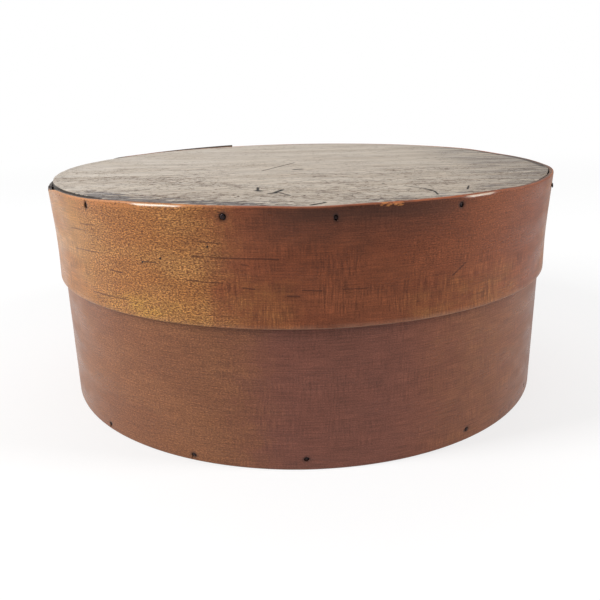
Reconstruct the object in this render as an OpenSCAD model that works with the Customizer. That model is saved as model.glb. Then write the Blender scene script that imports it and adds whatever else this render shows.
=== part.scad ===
// Round bentwood pantry box. Two strips of wood are bent into hoops, lapped and tacked, and each hoop
// is pinned with brads round a flat board. The upper one is a push-on lid: its hoop slides down over
// the base's hoop until its board rests on the base's top edge.
// Millimetres, +Z up, with the origin at the centre of the underside and the laps at the back.

/* [Box] */
// Outside diameter of the lid's hoop at its lower edge
lid_d = 250; // [180:1:320]
// Height of the closed box, from its underside to the lid's rim
box_h = 107; // [85:1:180]
// Height of the lid's hoop
lid_h = 46; // [30:1:70]
// How far the lid's hoop leans outwards between its lower edge and its rim
lid_lean = 1; // [0.6:0.1:2]

/* [Hoops] */
// Thickness of the lid's hoop
lid_hoop_t = 1.9; // [1.5:0.1:3]
// Thickness of the base's hoop
base_hoop_t = 1.9; // [1.5:0.1:3]
// Gap all round between the lid's lower edge and the base's hoop
slide_gap = 0.3; // [0.2:0.05:1]
// Rounding of the hoops' outer edges
edge_r = 0.5; // [0.2:0.1:0.8]

/* [Laps] */
// Where the outer end of each lap lies, in degrees round from the right-hand side
lap_a = 111.5; // [95:0.5:125]
// Length of a lap along its hoop
lap_len = 65; // [40:1:90]
// Thickness left at each of the two ends of a hoop
lap_end_t = 0.7; // [0.5:0.1:0.9]
// Width of the seam between the two ends of a hoop
seam_w = 0.15; // [0.1:0.05:0.3]
// How far the outer end of the lid's lap stands above the rim
lap_rise = 1; // [0.3:0.1:1.5]

/* [Boards] */
// Thickness of the lid's board
lid_board_t = 7; // [6:0.5:10]
// Thickness of the base's board
base_board_t = 7.5; // [6:0.5:12]
// Gap between a board's edge and its hoop
board_gap = 0.3; // [0.1:0.1:0.6]
// Bevel worn on the lid board's upper edge
board_bevel = 0.4; // [0.2:0.1:0.8]

/* [Brads] */
// Diameter of a brad's shank
brad_d = 1.1; // [0.8:0.1:1.6]
// Length of a brad with its head
brad_l = 13; // [9:1:18]
// Diameter of a brad's head
brad_head_d = 2.1; // [1.8:0.1:2.8]
// Thickness of a brad's head
brad_head_t = 0.6; // [0.4:0.1:0.8]

/* [Tacks] */
// Tacks in the lid's lap
lid_tack_count = 3; // [2:1:4]
// Tacks in the base's lap
base_tack_count = 5; // [3:1:6]
// Distance of the tacks from the outer end of the lap
tack_inset = 7; // [5:1:12]
// Distance from the first and last tack to the edge they are nearest
tack_margin = 7; // [5:1:10]
// Diameter of a tack's shank
tack_d = 1.2; // [0.9:0.1:1.5]
// Diameter of a tack's head
tack_head_d = 3; // [2.2:0.1:4]
// Thickness of a tack's head
tack_head_t = 0.4; // [0.3:0.1:0.5]
// Length of a tack's point, bent over against the inside
tack_point_l = 3.5; // [2.5:0.5:5]
// Diameter of a tack's point
tack_point_d = 0.7; // [0.5:0.1:0.9]

/* [Hidden] */
$fn = 180;

// Play of a nail in the hole it has made for itself
nail_play = 0.02;
// Facets of a nail's round shank and head
nail_fn = 24;
// Steps in which the slanting face of a lap is drawn
lap_steps = 12;
// Steps in which a rounded edge is drawn
edge_steps = 5;
// A cut runs this far past the surface it opens
past = 1;
// The part of the lid's lap that stands above the rim is worn back by this
lap_back = 0.1;

lid_r = lid_d / 2;
lid_in_r = lid_r - lid_hoop_t;
lid_z = box_h - lid_h;
lid_board_z = box_h - lid_board_t;
lid_brad_r = lid_r_at(lid_board_z + lid_board_t / 2);
base_r = lid_in_r - slide_gap;
base_in_r = base_r - base_hoop_t;
base_h = lid_board_z;

// Each brad as its direction in degrees, its height above the middle of its board, and how far its
// head stands out of the hoop. A head with a negative value has been driven below the surface.
lid_brads = [[-133.2, 0.2, -0.5], [-103, 0.3, 0.1], [-84.5, -0.4, -0.4], [-61.7, 0.7, -0.3],
             [-23.5, -2.1, 0.5], [7, 0.5, -0.2], [36, -0.3, -0.4], [62, 0.2, 0.1], [84, 0.6, -0.3],
             [117, -0.1, -0.2], [146, 0.4, -0.4], [172, 0, 0.1], [199, 0.3, -0.3]];
base_brads = [[-136.1, -1.1, -0.3], [-112.3, -1.2, -0.2], [-90, 1.1, -0.4], [-55.7, 1.3, 0.1],
              [-28.8, 1.6, -0.2], [3, 0.2, -0.3], [30, -0.3, -0.4], [57, 0.4, 0.1], [83, 0, -0.2],
              [116, 0.5, -0.3], [143, -0.2, -0.2], [169, 0.3, 0.1], [197, 0.1, -0.4]];

function polar(r, a) = [r * cos(a), r * sin(a)];
function arc_deg(len, r) = len / r * 180 / PI;

// Outside radius of the lid's leaning hoop at a height
function lid_r_at(z) = lid_r + lid_lean * (z - lid_z) / lid_h;

// One side of the slanting seam between the two ends of a lapped hoop, from the strip's outer end to
// its inner end. The outer layer grows from its thin end to the full thickness while the layer under
// it thins out. The side is 1 for the face of the outer layer, -1 for the face of the inner one, and
// 0 for the middle of the seam.
function lap_face(r_out, t, side, steps = lap_steps) = [
    for (i = [0 : steps])
        polar(r_out - lap_end_t - (t - 2 * lap_end_t) * i / lap_steps + side * seam_w / 2,
              lap_a + arc_deg(lap_len * i / lap_steps + side * seam_w / 2, r_out))
];

// Height of each tack in a lap, spread evenly between two heights
function tack_heights(count, low, high) = [
    for (i = [0 : count - 1]) low + (high - low) * i / (count - 1)
];

// Each tack as its height and the radius of the wall there
lid_tacks = [
    for (z = tack_heights(lid_tack_count, lid_z + tack_margin, lid_board_z - tack_margin)) [z, lid_r_at(z)]
];
base_tacks = [
    for (z = tack_heights(base_tack_count, base_board_t + tack_margin, base_h - tack_margin)) [z, base_r]
];

// A body between two rows of points round a hoop, drawn at the hoop's foot and raised from one
// height to another. It widens as a wall of height h does whose top leans outwards by lean.
module with_wall(inner, outer, r_out, h, lean, low, high) {
    n = len(inner);
    row_starts = [[0, n], [2 * n, 3 * n]];
    lower = row_starts[0];
    upper = row_starts[1];
    polyhedron(
        points = [
            for (z = [low, high]) for (row = [inner, outer]) for (p = row)
                concat(p * (1 + lean * z / (h * r_out)), z)
        ],
        faces = concat(
            [for (k = [0 : n - 2]) [upper[0] + k, upper[0] + k + 1, upper[1] + k + 1, upper[1] + k]],
            [for (k = [0 : n - 2]) [lower[0] + k, lower[1] + k, lower[1] + k + 1, lower[0] + k + 1]],
            [for (k = [0 : n - 2]) [lower[0] + k, lower[0] + k + 1, upper[0] + k + 1, upper[0] + k]],
            [for (k = [0 : n - 2]) [lower[1] + k + 1, lower[1] + k, upper[1] + k, upper[1] + k + 1]],
            [[lower[0], upper[0], upper[1], lower[1]]],
            [[lower[0] + n - 1, lower[1] + n - 1, upper[1] + n - 1, upper[0] + n - 1]]
        )
    );
}

// A thin sheet of air, open at both faces of the hoop, that parts the two ends of the strip
module seam(r_out, t, h, lean) {
    rows = [for (side = [-1, 1])
        let (end_a = lap_a + arc_deg(side * seam_w / 2, r_out))
        concat(
            [polar(r_out + past, end_a)],
            lap_face(r_out, t, side),
            [polar(r_out - t - past, end_a + arc_deg(lap_len, r_out))]
        )
    ];
    with_wall(rows[0], rows[1], r_out, h, lean, -past, h + lap_rise + past);
}

// A quarter circle round a point, from the direction a onwards
function edge_arc(middle, a) = [
    for (i = [0 : edge_steps]) middle + polar(edge_r, a + 90 * i / edge_steps)
];

// The cut end of a hoop's wall, standing at its radius, with both outer edges rounded. Its top leans
// outwards by lean.
module wall_profile(r_out, t, h, lean) {
    upright = concat(
        [[r_out - t, 0]],
        edge_arc([r_out - edge_r, edge_r], -90),
        edge_arc([r_out - edge_r, h - edge_r], 0),
        [[r_out - t, h]]
    );
    polygon([for (p = upright) p + [lean * p[1] / h, 0]]);
}

// A bent strip of wood, without the holes that its nails make. The children are joined to it before
// the seam is cut.
module bent_hoop(r_out, t, h, lean) {
    difference() {
        union() {
            rotate_extrude() wall_profile(r_out, t, h, lean);
            children();
        }
        seam(r_out, t, h, lean);
    }
}

// A nail stands along +X, with the outside of its head at x = 0 and its shank pointing to -X.
module along_nail() {
    rotate([0, -90, 0]) children();
}

// Puts a nail into the wall of a hoop of radius r, with its head standing out by proud
module in_wall(r, a, z, proud) {
    rotate([0, 0, a]) translate([r + proud, 0, z]) children();
}

module brad() {
    along_nail() {
        cylinder(d1 = brad_head_d - brad_head_t, d2 = brad_head_d, h = brad_head_t / 2, $fn = nail_fn);
        translate([0, 0, brad_head_t / 2]) cylinder(d = brad_head_d, h = brad_head_t / 2, $fn = nail_fn);
        cylinder(d = brad_d, h = brad_l, $fn = nail_fn);
    }
}

// The hole of a brad, open outwards where the head has been driven below the surface
module brad_hole() {
    play = 2 * nail_play;
    along_nail() {
        translate([0, 0, -past]) cylinder(d = brad_head_d + play, h = brad_head_t + past, $fn = nail_fn);
        cylinder(d = brad_d + play, h = brad_l + nail_play, $fn = nail_fn);
    }
}

// A tack through a wall of thickness t. Its head is let in flush, and its point is bent over and
// beaten into the inside of the wall.
module tack(t, play) {
    along_nail() {
        translate([0, 0, -play]) cylinder(d = tack_head_d + 2 * play, h = tack_head_t + 2 * play, $fn = nail_fn);
        cylinder(d = tack_d + 2 * play, h = t, $fn = nail_fn);
    }
    translate([-t + tack_point_d / 2, 0, -tack_point_l])
        cylinder(d = tack_point_d + 2 * play, h = tack_point_l, $fn = nail_fn);
}

// The hole of a tack, with the groove that its point has been beaten into
module tack_hole(t) {
    tack(t, nail_play);
    translate([-t - past, -tack_point_d / 2 - nail_play, -tack_point_l])
        cube([past + tack_point_d / 2, tack_point_d + 2 * nail_play, tack_point_l]);
    along_nail() cylinder(d = tack_d + 2 * nail_play, h = t + past, $fn = nail_fn);
}

module brads(r, list, mid_z) {
    for (b = list) in_wall(r, b[0], mid_z + b[1], b[2]) brad();
}

module brad_holes(r, list, mid_z) {
    for (b = list) in_wall(r, b[0], mid_z + b[1], b[2]) brad_hole();
}

// A lap's tacks stand in an upright row, close to the outer end of the lap
module tacks(list, t) {
    for (k = list) in_wall(k[1], lap_a + arc_deg(tack_inset, k[1]), k[0], 0) tack(t, 0);
}

module tack_holes(list, t) {
    for (k = list) in_wall(k[1], lap_a + arc_deg(tack_inset, k[1]), k[0], 0) tack_hole(t);
}

module base_hoop() {
    color([0.56, 0.36, 0.26])
    difference() {
        bent_hoop(base_r, base_hoop_t, base_h, 0);
        brad_holes(base_r, base_brads, base_board_t / 2);
        tack_holes(base_tacks, base_hoop_t);
    }
}

module base_board() {
    color([0.62, 0.50, 0.38])
    difference() {
        cylinder(r = base_in_r - board_gap, h = base_board_t);
        brad_holes(base_r, base_brads, base_board_t / 2);
    }
}

module base_brads() {
    color([0.17, 0.15, 0.14])
    brads(base_r, base_brads, base_board_t / 2);
}

module base_lap_tacks() {
    color([0.30, 0.22, 0.17])
    tacks(base_tacks, base_hoop_t);
}

// The outer layer of the lid's lap was bent on at a slight slant, so its end stands above the rim
// and its top runs down to the rim along the lap. It is drawn at the hoop's foot, from the middle of
// the seam outwards.
module lap_end_above_rim() {
    steps = lap_steps + 1;
    low_end = polar(lid_r, lap_a + arc_deg(lap_len, lid_r));
    rise_way = polar(lid_r, lap_a) - low_end;
    heading = atan2(rise_way[1], rise_way[0]);
    slope = atan(lap_rise / norm(rise_way));
    low = lid_h - edge_r - past;
    high = lid_h + lap_rise + past;
    inside = lap_face(lid_r, lid_hoop_t, 0, steps);
    outside = [for (p = inside) p * (lid_r + past) / norm(p)];
    intersection() {
        with_wall(inside, outside, lid_r, lid_h, lid_lean, low, high);
        translate([0, 0, low])
            cylinder(r1 = lid_r_at(lid_z + low) - lap_back, r2 = lid_r_at(lid_z + high) - lap_back, h = high - low);
        translate([low_end[0], low_end[1], lid_h])
            rotate([0, -slope, heading])
                translate([-lid_r, -lid_r, -lid_d])
                    cube([lid_d, lid_d, lid_d]);
    }
}

module lid_hoop() {
    color([0.60, 0.38, 0.26])
    difference() {
        translate([0, 0, lid_z]) bent_hoop(lid_r, lid_hoop_t, lid_h, lid_lean) lap_end_above_rim();
        brad_holes(lid_brad_r, lid_brads, lid_board_z + lid_board_t / 2);
        tack_holes(lid_tacks, lid_hoop_t);
    }
}

module lid_board() {
    edge = lid_r_at(lid_board_z) - lid_hoop_t - board_gap;
    color([0.52, 0.46, 0.41])
    difference() {
        translate([0, 0, lid_board_z]) union() {
            cylinder(r = edge, h = lid_board_t - board_bevel);
            translate([0, 0, lid_board_t - board_bevel])
                cylinder(r1 = edge, r2 = edge - board_bevel, h = board_bevel);
        }
        brad_holes(lid_brad_r, lid_brads, lid_board_z + lid_board_t / 2);
    }
}

module lid_brads() {
    color([0.17, 0.15, 0.14])
    brads(lid_brad_r, lid_brads, lid_board_z + lid_board_t / 2);
}

module lid_lap_tacks() {
    color([0.30, 0.22, 0.17])
    tacks(lid_tacks, lid_hoop_t);
}

base_hoop();
base_board();
base_brads();
base_lap_tacks();
lid_hoop();
lid_board();
lid_brads();
lid_lap_tacks();
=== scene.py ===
# %% [markdown]
# # A round bentwood pantry box
# This lesson finishes an old round wooden box around a fixed model of it. The model holds eight
# nodes: for the base and for the lid a bent hoop, a flat board, the brads that pin the two together,
# and the tacks that hold the hoop's lapped ends. We read every size from that model, so what we
# shape here lands exactly where the maker's pieces are.

# %% Load the frame
import bpy
import numpy as np
from mathutils import Matrix, Vector


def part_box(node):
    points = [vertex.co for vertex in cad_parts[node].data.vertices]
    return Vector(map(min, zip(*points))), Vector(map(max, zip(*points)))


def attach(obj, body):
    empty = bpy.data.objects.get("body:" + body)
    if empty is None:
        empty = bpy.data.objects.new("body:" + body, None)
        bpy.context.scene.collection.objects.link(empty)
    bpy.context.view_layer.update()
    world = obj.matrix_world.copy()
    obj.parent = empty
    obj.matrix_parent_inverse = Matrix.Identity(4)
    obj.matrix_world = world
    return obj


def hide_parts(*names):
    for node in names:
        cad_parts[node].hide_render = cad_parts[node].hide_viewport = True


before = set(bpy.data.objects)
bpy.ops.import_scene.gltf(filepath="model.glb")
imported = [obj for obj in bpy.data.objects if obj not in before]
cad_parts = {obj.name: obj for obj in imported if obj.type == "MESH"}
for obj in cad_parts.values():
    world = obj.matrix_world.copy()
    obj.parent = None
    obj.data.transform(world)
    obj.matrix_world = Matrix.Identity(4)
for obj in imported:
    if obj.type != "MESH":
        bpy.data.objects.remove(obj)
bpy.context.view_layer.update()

mm = 0.001
print("nodes:", sorted(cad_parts))

# %% [markdown]
# ## The sizes of the box
# A hoop's outside radius is half the width of its node. The lid's hoop leans out a little, from a
# lower edge that hugs the base to a wider rim, so its foot is found from the base: out by the gap
# that lets the lid slide, and by the thickness of the wood. Keeping these as named values lets every
# later cell speak of the lid's rim or the base's mouth without a bare number.

# %% Sizes read from the frame
def span(node, axis):
    """Lowest and highest place of a node along one axis."""
    low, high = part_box(node)
    return low[axis], high[axis]


def radius_of(node):
    low, high = span(node, 0)
    return (high - low) / 2


hoop_wall = 1.9 * mm
slide_gap = 0.3 * mm
lid_low = span("lid_hoop", 2)[0]
lid_rim = span("lid_board", 2)[1]
lid_board_low = span("lid_board", 2)[0]
lap_rise = span("lid_hoop", 2)[1] - lid_rim
base_r = radius_of("base_hoop")
base_in_r = base_r - hoop_wall
base_top = span("base_hoop", 2)[1]
base_board_top = span("base_board", 2)[1]
lid_in_r = base_r + slide_gap
lid_r = lid_in_r + hoop_wall
lid_lean = radius_of("lid_hoop") - lid_r
print("lid: radius %.1f mm, %.1f mm more at the rim, %.1f mm up" % (lid_r / mm, lid_lean / mm, lid_rim / mm))
print("base: radius %.1f mm, mouth at %.1f mm" % (base_r / mm, base_top / mm))

# %% [markdown]
# ## The camera
# The photograph was taken from the front, a little above the rim, with the camera held slightly
# askew. A camera is a place and three directions, so we write those directions down: forward and
# down by the pitch, then right and up turned a little about the line of sight. The distance and the
# height are what a fit of the two rims and of the base's lower edge gave.

# %% Camera at the photograph's place
image_px = 600
focal_px = 672.46
sensor_mm = 36
eye = Vector((-1.30, -359.28, 149.13)) * mm
pitch_down = 0.3147
roll = -0.0211

forward = Vector((0, np.cos(pitch_down), -np.sin(pitch_down)))
level_right = Vector((1, 0, 0))
level_up = level_right.cross(forward)
right = level_right * np.cos(roll) + level_up * np.sin(roll)
up = right.cross(forward)

camera_data = bpy.data.cameras.new("photo_camera")
camera_data.sensor_width = sensor_mm
camera_data.lens = focal_px / image_px * sensor_mm
camera_data.clip_start = 10 * mm
camera = bpy.data.objects.new("photo_camera", camera_data)
camera.matrix_world = Matrix.Translation(eye) @ Matrix((right, up, -forward)).transposed().to_4x4()
bpy.context.scene.collection.objects.link(camera)
bpy.context.scene.camera = camera
print("lens %.1f mm, camera %.0f mm from the axis" % (camera_data.lens, -eye.y / mm))

# %% [markdown]
# ## Turning arrays into meshes
# Every wooden skin below is a grid. Columns run along the strip or round the board, and rows run
# over its cross-section. One helper joins neighbours on the grid into four-sided faces. It can also
# write a UV map in metres, so that the grain follows the wood round the bend. The map's last row
# and column have coordinates of their own where the grid closes, so no pattern jumps there.

# %% Helpers that make a piece from arrays
def new_piece(name, points, faces, uv=None, sharp_deg=40):
    """A mesh object from points (n, 3) and a list of face arrays, each with one number of corners.
    uv holds a pair of metres for each face corner, in the order of the faces."""
    corners = np.concatenate([f.ravel() for f in faces])
    widths = np.concatenate([np.full(len(f), f.shape[1]) for f in faces])
    mesh = bpy.data.meshes.new(name)
    mesh.vertices.add(len(points))
    mesh.vertices.foreach_set("co", points.astype(np.float32).ravel())
    mesh.loops.add(len(corners))
    mesh.loops.foreach_set("vertex_index", corners.astype(np.int32))
    mesh.polygons.add(len(widths))
    mesh.polygons.foreach_set("loop_start", (np.cumsum(widths) - widths).astype(np.int32))
    mesh.update(calc_edges=True)
    mesh.polygons.foreach_set("use_smooth", np.ones(len(widths), bool))
    mesh.set_sharp_from_angle(angle=np.radians(sharp_deg))
    if uv is not None:
        layer = mesh.uv_layers.new(name="strip")
        layer.data.foreach_set("uv", uv.astype(np.float32).ravel())
    piece = bpy.data.objects.new(name, mesh)
    bpy.context.scene.collection.objects.link(piece)
    print("%s: %d points, %d faces" % (name, len(points), len(widths)))
    return piece


# %% Faces of grids and of turned shapes
def grid_faces(columns, rows, close_columns=False, close_rows=False):
    """Four-sided faces of a grid whose point (i, j) has the number i * rows + j, with each corner's
    column and row. Where the grid closes, those run one past the last."""
    i = np.arange(columns if close_columns else columns - 1)
    j = np.arange(rows if close_rows else rows - 1)
    i, j = (a.ravel() for a in np.meshgrid(i, j, indexing="ij"))
    column = np.stack([i, i + 1, i + 1, i], 1)
    row = np.stack([j, j, j + 1, j + 1], 1)
    return (column % columns) * rows + row % rows, column, row


def turned_faces(copies, columns, rows):
    """Faces of closed turned shapes, one after another: a point, rings of the given columns, and a
    second point. Each shape has columns * rows points and then its two end points."""
    quads = grid_faces(columns, rows, close_columns=True)[0]
    i = np.arange(columns)
    after = (i + 1) % columns
    first, last = np.full(columns, columns * rows), np.full(columns, columns * rows + 1)
    start = np.stack([first, after * rows, i * rows], 1)
    end = np.stack([last, i * rows + rows - 1, after * rows + rows - 1], 1)
    shift = (np.arange(copies) * (columns * rows + 2))[:, None, None]
    quads = (quads + shift).reshape(-1, 4)
    ends = (np.concatenate([start, end]) + shift).reshape(-1, 3)
    return [quads, ends]


# %% Masks painted on points
def paint(piece, name, values):
    """Stores one number for each point, which a material can read as a mask."""
    layer = piece.data.attributes.new(name, "FLOAT", "POINT")
    layer.data.foreach_set("value", values.astype(np.float32).ravel())


def paint_all(piece, masks, shape):
    """Paints masks by name, each stretched to the shape of the piece's grid of points."""
    for name, values in masks.items():
        paint(piece, name, np.broadcast_to(values, shape))


# %% [markdown]
# ## Small tools for shapes made by hand
# Old handwork is never quite even. One tool gives a smooth rise between two values. Another adds a
# few slow waves into an unevenness that looks hand-made but comes out the same on each run. The
# third sets stations along a length: a nail hole is two millimetres wide in a strip nearly a metre
# long, so the stations crowd together only where there is something small to shape.

# %% Rise, unevenness and stations
def rise(x, low, high):
    """Nought below low, one above high, and three t squared less two t cubed between them."""
    t = np.clip((x - low) / (high - low), 0, 1)
    return t * t * (3 - 2 * t)


def uneven(s, length, seed):
    """Five sine waves of about the given length along s, summed to stay between -1 and 1."""
    rng = np.random.default_rng(seed)
    waves = 2 * np.pi / (length * rng.uniform(0.6, 1.8, 5))
    starts = rng.uniform(0, 2 * np.pi, 5)
    return np.sin(np.multiply.outer(s, waves) + starts).mean(-1)


def stations(start, stop, step, fine, places, reach):
    """Places from start to stop, a step apart, but a fine step apart within reach of the given
    places. Density is one over the step, its running sum counts the stations, and reading the sum
    backwards at whole numbers gives them."""
    s = np.linspace(start, stop, 20001)
    nearest = np.abs(s[:, None] - np.asarray(places)).min(1)
    density = 1 / step + (1 / fine - 1 / step) * (1 - rise(nearest, reach, 2 * reach))
    counted = np.concatenate([[0], np.cumsum((density[1:] + density[:-1]) / 2 * np.diff(s))])
    total = int(np.ceil(counted[-1]))
    return np.interp(np.linspace(0, counted[-1], total + 1), counted, s)


print("unevenness at nought:", round(float(uneven(0.0, 1.0, 1)), 3))

# %% [markdown]
# ## Where the nails are
# The brads and tacks are scattered by hand, as on the real box, and the model already holds them.
# We sort each nail node's points, by direction for the brads and by height for the tacks, and cut
# the row wherever a wide gap lies. The outermost points of each nail are its head, and their middle
# says where the nail was driven.

# %% Read each nail's direction, height and outermost radius
head_depth = 0.5 * mm


def nail_place(points):
    reach = np.hypot(points[:, 0], points[:, 1])
    head = points[reach > reach.max() - head_depth]
    middle = (head.min(0) + head.max(0)) / 2
    return np.arctan2(middle[1], middle[0]), middle[2], reach.max()


def nails_of(node, axis_of_sorting, gap):
    """One row for each nail of a node: its direction in radians, height and outermost radius."""
    points = np.array([v.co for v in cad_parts[node].data.vertices])
    directions = np.arctan2(points[:, 1], points[:, 0])
    key = directions if axis_of_sorting == "direction" else points[:, 2]
    order = np.argsort(key)
    groups = np.split(order, np.flatnonzero(np.diff(key[order]) > gap) + 1)
    return np.array([nail_place(points[g]) for g in groups])


lid_brads = nails_of("lid_brads", "direction", np.radians(3))
base_brads = nails_of("base_brads", "direction", np.radians(3))
lid_tacks = nails_of("lid_lap_tacks", "height", 3 * mm)
base_tacks = nails_of("base_lap_tacks", "height", 3 * mm)
print("brads in lid and base:", len(lid_brads), len(base_brads))
print("tacks in lid and base:", len(lid_tacks), len(base_tacks))
print("directions of the lid's brads:", np.degrees(lid_brads[:, 0]).round(1))

# %% [markdown]
# ## The lap
# A hoop is one strip. Its outer end is thin and lies over its inner end, and both are shaved so that
# the wall keeps one thickness. Seen from above, the two ends part along a slant. We follow the strip
# from its outer end once round the box, and then on beneath its own beginning to its inner end. A
# turn that keeps on growing past a full circle tells the layer underneath from the one on top.

# %% The wall's two faces along the strip
lap_start = np.radians(111.5)
lap_length = 65 * mm
lap_end = 0.7 * mm
seam_width = 0.15 * mm
full_turn = 2 * np.pi


def lap_share(turn, r_out):
    """How far a turn has come along the lap: nought at its start, one at its end."""
    return (turn - lap_start) * r_out / lap_length


def wall_faces(turn, r_out, r_in):
    """Outer and inner radius of the strip at each turn. In the lap the outer layer's inner face
    slants inwards from a thin end, and the inner layer's outer face runs beside it, a seam away."""
    share = lap_share(turn, r_out)
    share_below = lap_share(turn - full_turn, r_out)
    shaved = r_out - r_in - 2 * lap_end
    inner = np.where(share < 1, r_out - lap_end - shaved * share + seam_width / 2, r_in)
    outer = np.where(share_below > 0, r_out - lap_end - shaved * share_below - seam_width / 2, r_out)
    return outer, inner


# %% Turns along the strip
def strip_turns(r_out, places, step, fine, reach):
    """Turns along the strip, crowded at the places and at its ends, with two turns almost together
    at each of the two steps in its thickness."""
    lap_turn = lap_length / r_out
    stop = lap_start + full_turn + lap_turn
    steps = np.array([lap_start + lap_turn, lap_start + full_turn])
    crowded = np.concatenate([places % full_turn, places % full_turn + full_turn, steps])
    crowded = np.concatenate([crowded, [lap_start, stop]])
    turn = stations(lap_start * r_out, stop * r_out, step, fine, crowded * r_out, reach) / r_out
    clear = np.abs(turn[:, None] - steps).min(1) > fine / 2 / r_out
    hair = 1e-5
    return np.sort(np.concatenate([turn[clear], steps - hair, steps + hair]))


print("the lid's lap spans %.1f degrees" % np.degrees(lap_length / lid_r))

# %% [markdown]
# ## A brad's dent
# Most brads were driven a little below the surface, and the wood round them was crushed and has
# turned black from the iron. Each dent is an ellipse of its own: five of them can be seen in the
# photograph and follow it, and the rest are drawn at random. We measure how far each point of the
# wall is from the ellipse's middle, as a share of the ellipse, and let the surface sink inside it.

# %% Dents round the brads
head_thick = 0.6 * mm
dent_floor = 0.08 * mm


def dent_shapes(brads, seen, seed):
    """Half width, half height and tilt of each brad's dent. Seen ones are given by direction."""
    rng = np.random.default_rng(seed)
    size = rng.uniform(0.85, 1.15, (len(brads), 1)) * mm
    shapes = np.hstack([size * rng.uniform(0.8, 1, size.shape), size, rng.uniform(-0.6, 0.6, size.shape)])
    directions = np.degrees(brads[:, 0])
    for direction, half_width, half_height, tilt in seen:
        nearest = np.argmin(np.abs(directions - direction))
        shapes[nearest] = half_width * mm, half_height * mm, np.radians(tilt)
    return shapes


def from_nail(turn, z, place, shape, r_out):
    """Distance from a nail's middle as a share of its dent: one on the ellipse's edge. The two
    lengths along and up the wall are turned by the tilt and divided by the half axes."""
    along = np.angle(np.exp(1j * (turn - place[0]))) * r_out
    upward = z - place[1]
    half_width, half_height, tilt = shape
    across = (along * np.cos(tilt) + upward * np.sin(tilt)) / half_width
    length = (upward * np.cos(tilt) - along * np.sin(tilt)) / half_height
    return np.hypot(across, length)


def dents(turn, z, brads, shapes, r_out):
    """Depth of the dents and a mask of the iron's stain, for a grid of turns and heights."""
    depth = np.zeros(np.broadcast(turn, z).shape)
    stain = np.zeros_like(depth)
    for place, shape in zip(brads, shapes):
        share = from_nail(turn, z, place, shape, r_out)
        deep = head_thick + dent_floor - (place[2] - r_out)
        pressed = deep * (1 - rise(share, 0.9, 1.15)) + dent_floor * (1 - rise(share, 1.1, 2))
        depth = np.maximum(depth, pressed)
        stain = np.maximum(stain, 1 - rise(share, 1.0, 2.6))
    return depth, stain


# %% The dents of the lid and of the base
lid_dents = dent_shapes(lid_brads, [(-134, 0.85, 1.1, -8), (-103, 1.15, 1.15, 0), (-84.5, 0.65, 1.0, 5),
                                    (-61, 0.85, 0.9, 40), (-24, 1.25, 1.15, 0)], seed=11)
base_dents = dent_shapes(base_brads, [(-136, 0.9, 0.7, 20), (-112, 1.0, 0.75, -10), (-90, 1.0, 0.8, 10),
                                      (-55.5, 1.0, 0.7, 30), (-27.5, 0.6, 0.6, 0)], seed=12)
print("widest dent %.1f mm" % (2 * max(lid_dents[:, :2].max(), base_dents[:, :2].max()) / mm))

# %% [markdown]
# ## The hoop's cross-section
# The section is a closed loop: up the outer face, over a rounded outer edge, across the narrow top,
# over a sharper inner edge, down the inner face and back underneath. We write it for every turn at
# once, as arrays of radius and height with one row of the array for each turn. A hand-worn edge is
# rounder in some places than in others, so the radius of the rounding is itself an array.

# %% A loop of radius and height for each turn
inner_edge = 0.15 * mm


def corner(middle_r, middle_z, radius, start_deg, stop_deg, count):
    """A quarter circle: the middle plus the radius times the cosine and sine of the angle."""
    angle = np.radians(np.linspace(start_deg, stop_deg, count))
    return middle_r + radius * np.cos(angle), middle_z + radius * np.sin(angle)


def line(r0, z0, r1, z1, share):
    """Points at given shares of the way from one place to another."""
    return r0 + (r1 - r0) * share, z0 + (z1 - z0) * share


def section_loop(outer, inner, low, high, low_edge, high_edge, face_share):
    """The loop for every turn: joins the lines and corners along their second axis. The outer face
    has rows at face_share, shares of the way up it."""
    outer, inner, low, high, low_edge, high_edge = (
        a[:, None] for a in np.broadcast_arrays(outer, inner, low, high, low_edge, high_edge))
    few = np.linspace(0, 1, 4)[1:-1]
    many = np.linspace(0, 1, 16)[1:-1]
    pieces = [
        line(outer, low + low_edge, outer, high - high_edge, face_share),
        corner(outer - high_edge, high - high_edge, high_edge, 0, 90, 8),
        line(outer - high_edge, high, inner + inner_edge, high, few),
        corner(inner + inner_edge, high - inner_edge, inner_edge, 90, 180, 4),
        line(inner, high - inner_edge, inner, low + inner_edge, many),
        corner(inner + inner_edge, low + inner_edge, inner_edge, 180, 270, 4),
        line(inner + inner_edge, low, outer - low_edge, low, few),
        corner(outer - low_edge, low + low_edge, low_edge, 270, 350, 7)]
    return np.hstack([r for r, z in pieces]), np.hstack([z for r, z in pieces])


print("corner of 1 mm:", corner(0, 0, 1, 0, 90, 3)[0].round(2))

# %% [markdown]
# ## Worn places round the hoop
# Wear sits at places: where hands lifted the lid, or where the rim was knocked. We give each place
# as a direction, a half width that is fully worn and a soft width over which it fades, all in
# degrees. From such places come the rounding of the edges, the height of the rim, and later the
# masks that the finish reads.

# %% Shares by direction
def near_turn(turn, direction_deg, half_width_deg, soft_deg):
    """One within a half width of a direction, fading to nought over the soft width beyond."""
    away = np.degrees(np.abs(np.angle(np.exp(1j * (turn - np.radians(direction_deg))))))
    return 1 - rise(away, half_width_deg, half_width_deg + soft_deg)


def shares_at(turn, places):
    """A column of shares for each named place, with one row for each turn."""
    return {name: near_turn(turn, *place)[:, None] for name, place in places.items()}


print("half way down:", near_turn(0.0, 10, 5, 10).round(2))

# %% The edges and the rim of a hoop
low_edge_wave, high_edge_wave = 60 * mm, 25 * mm


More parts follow.
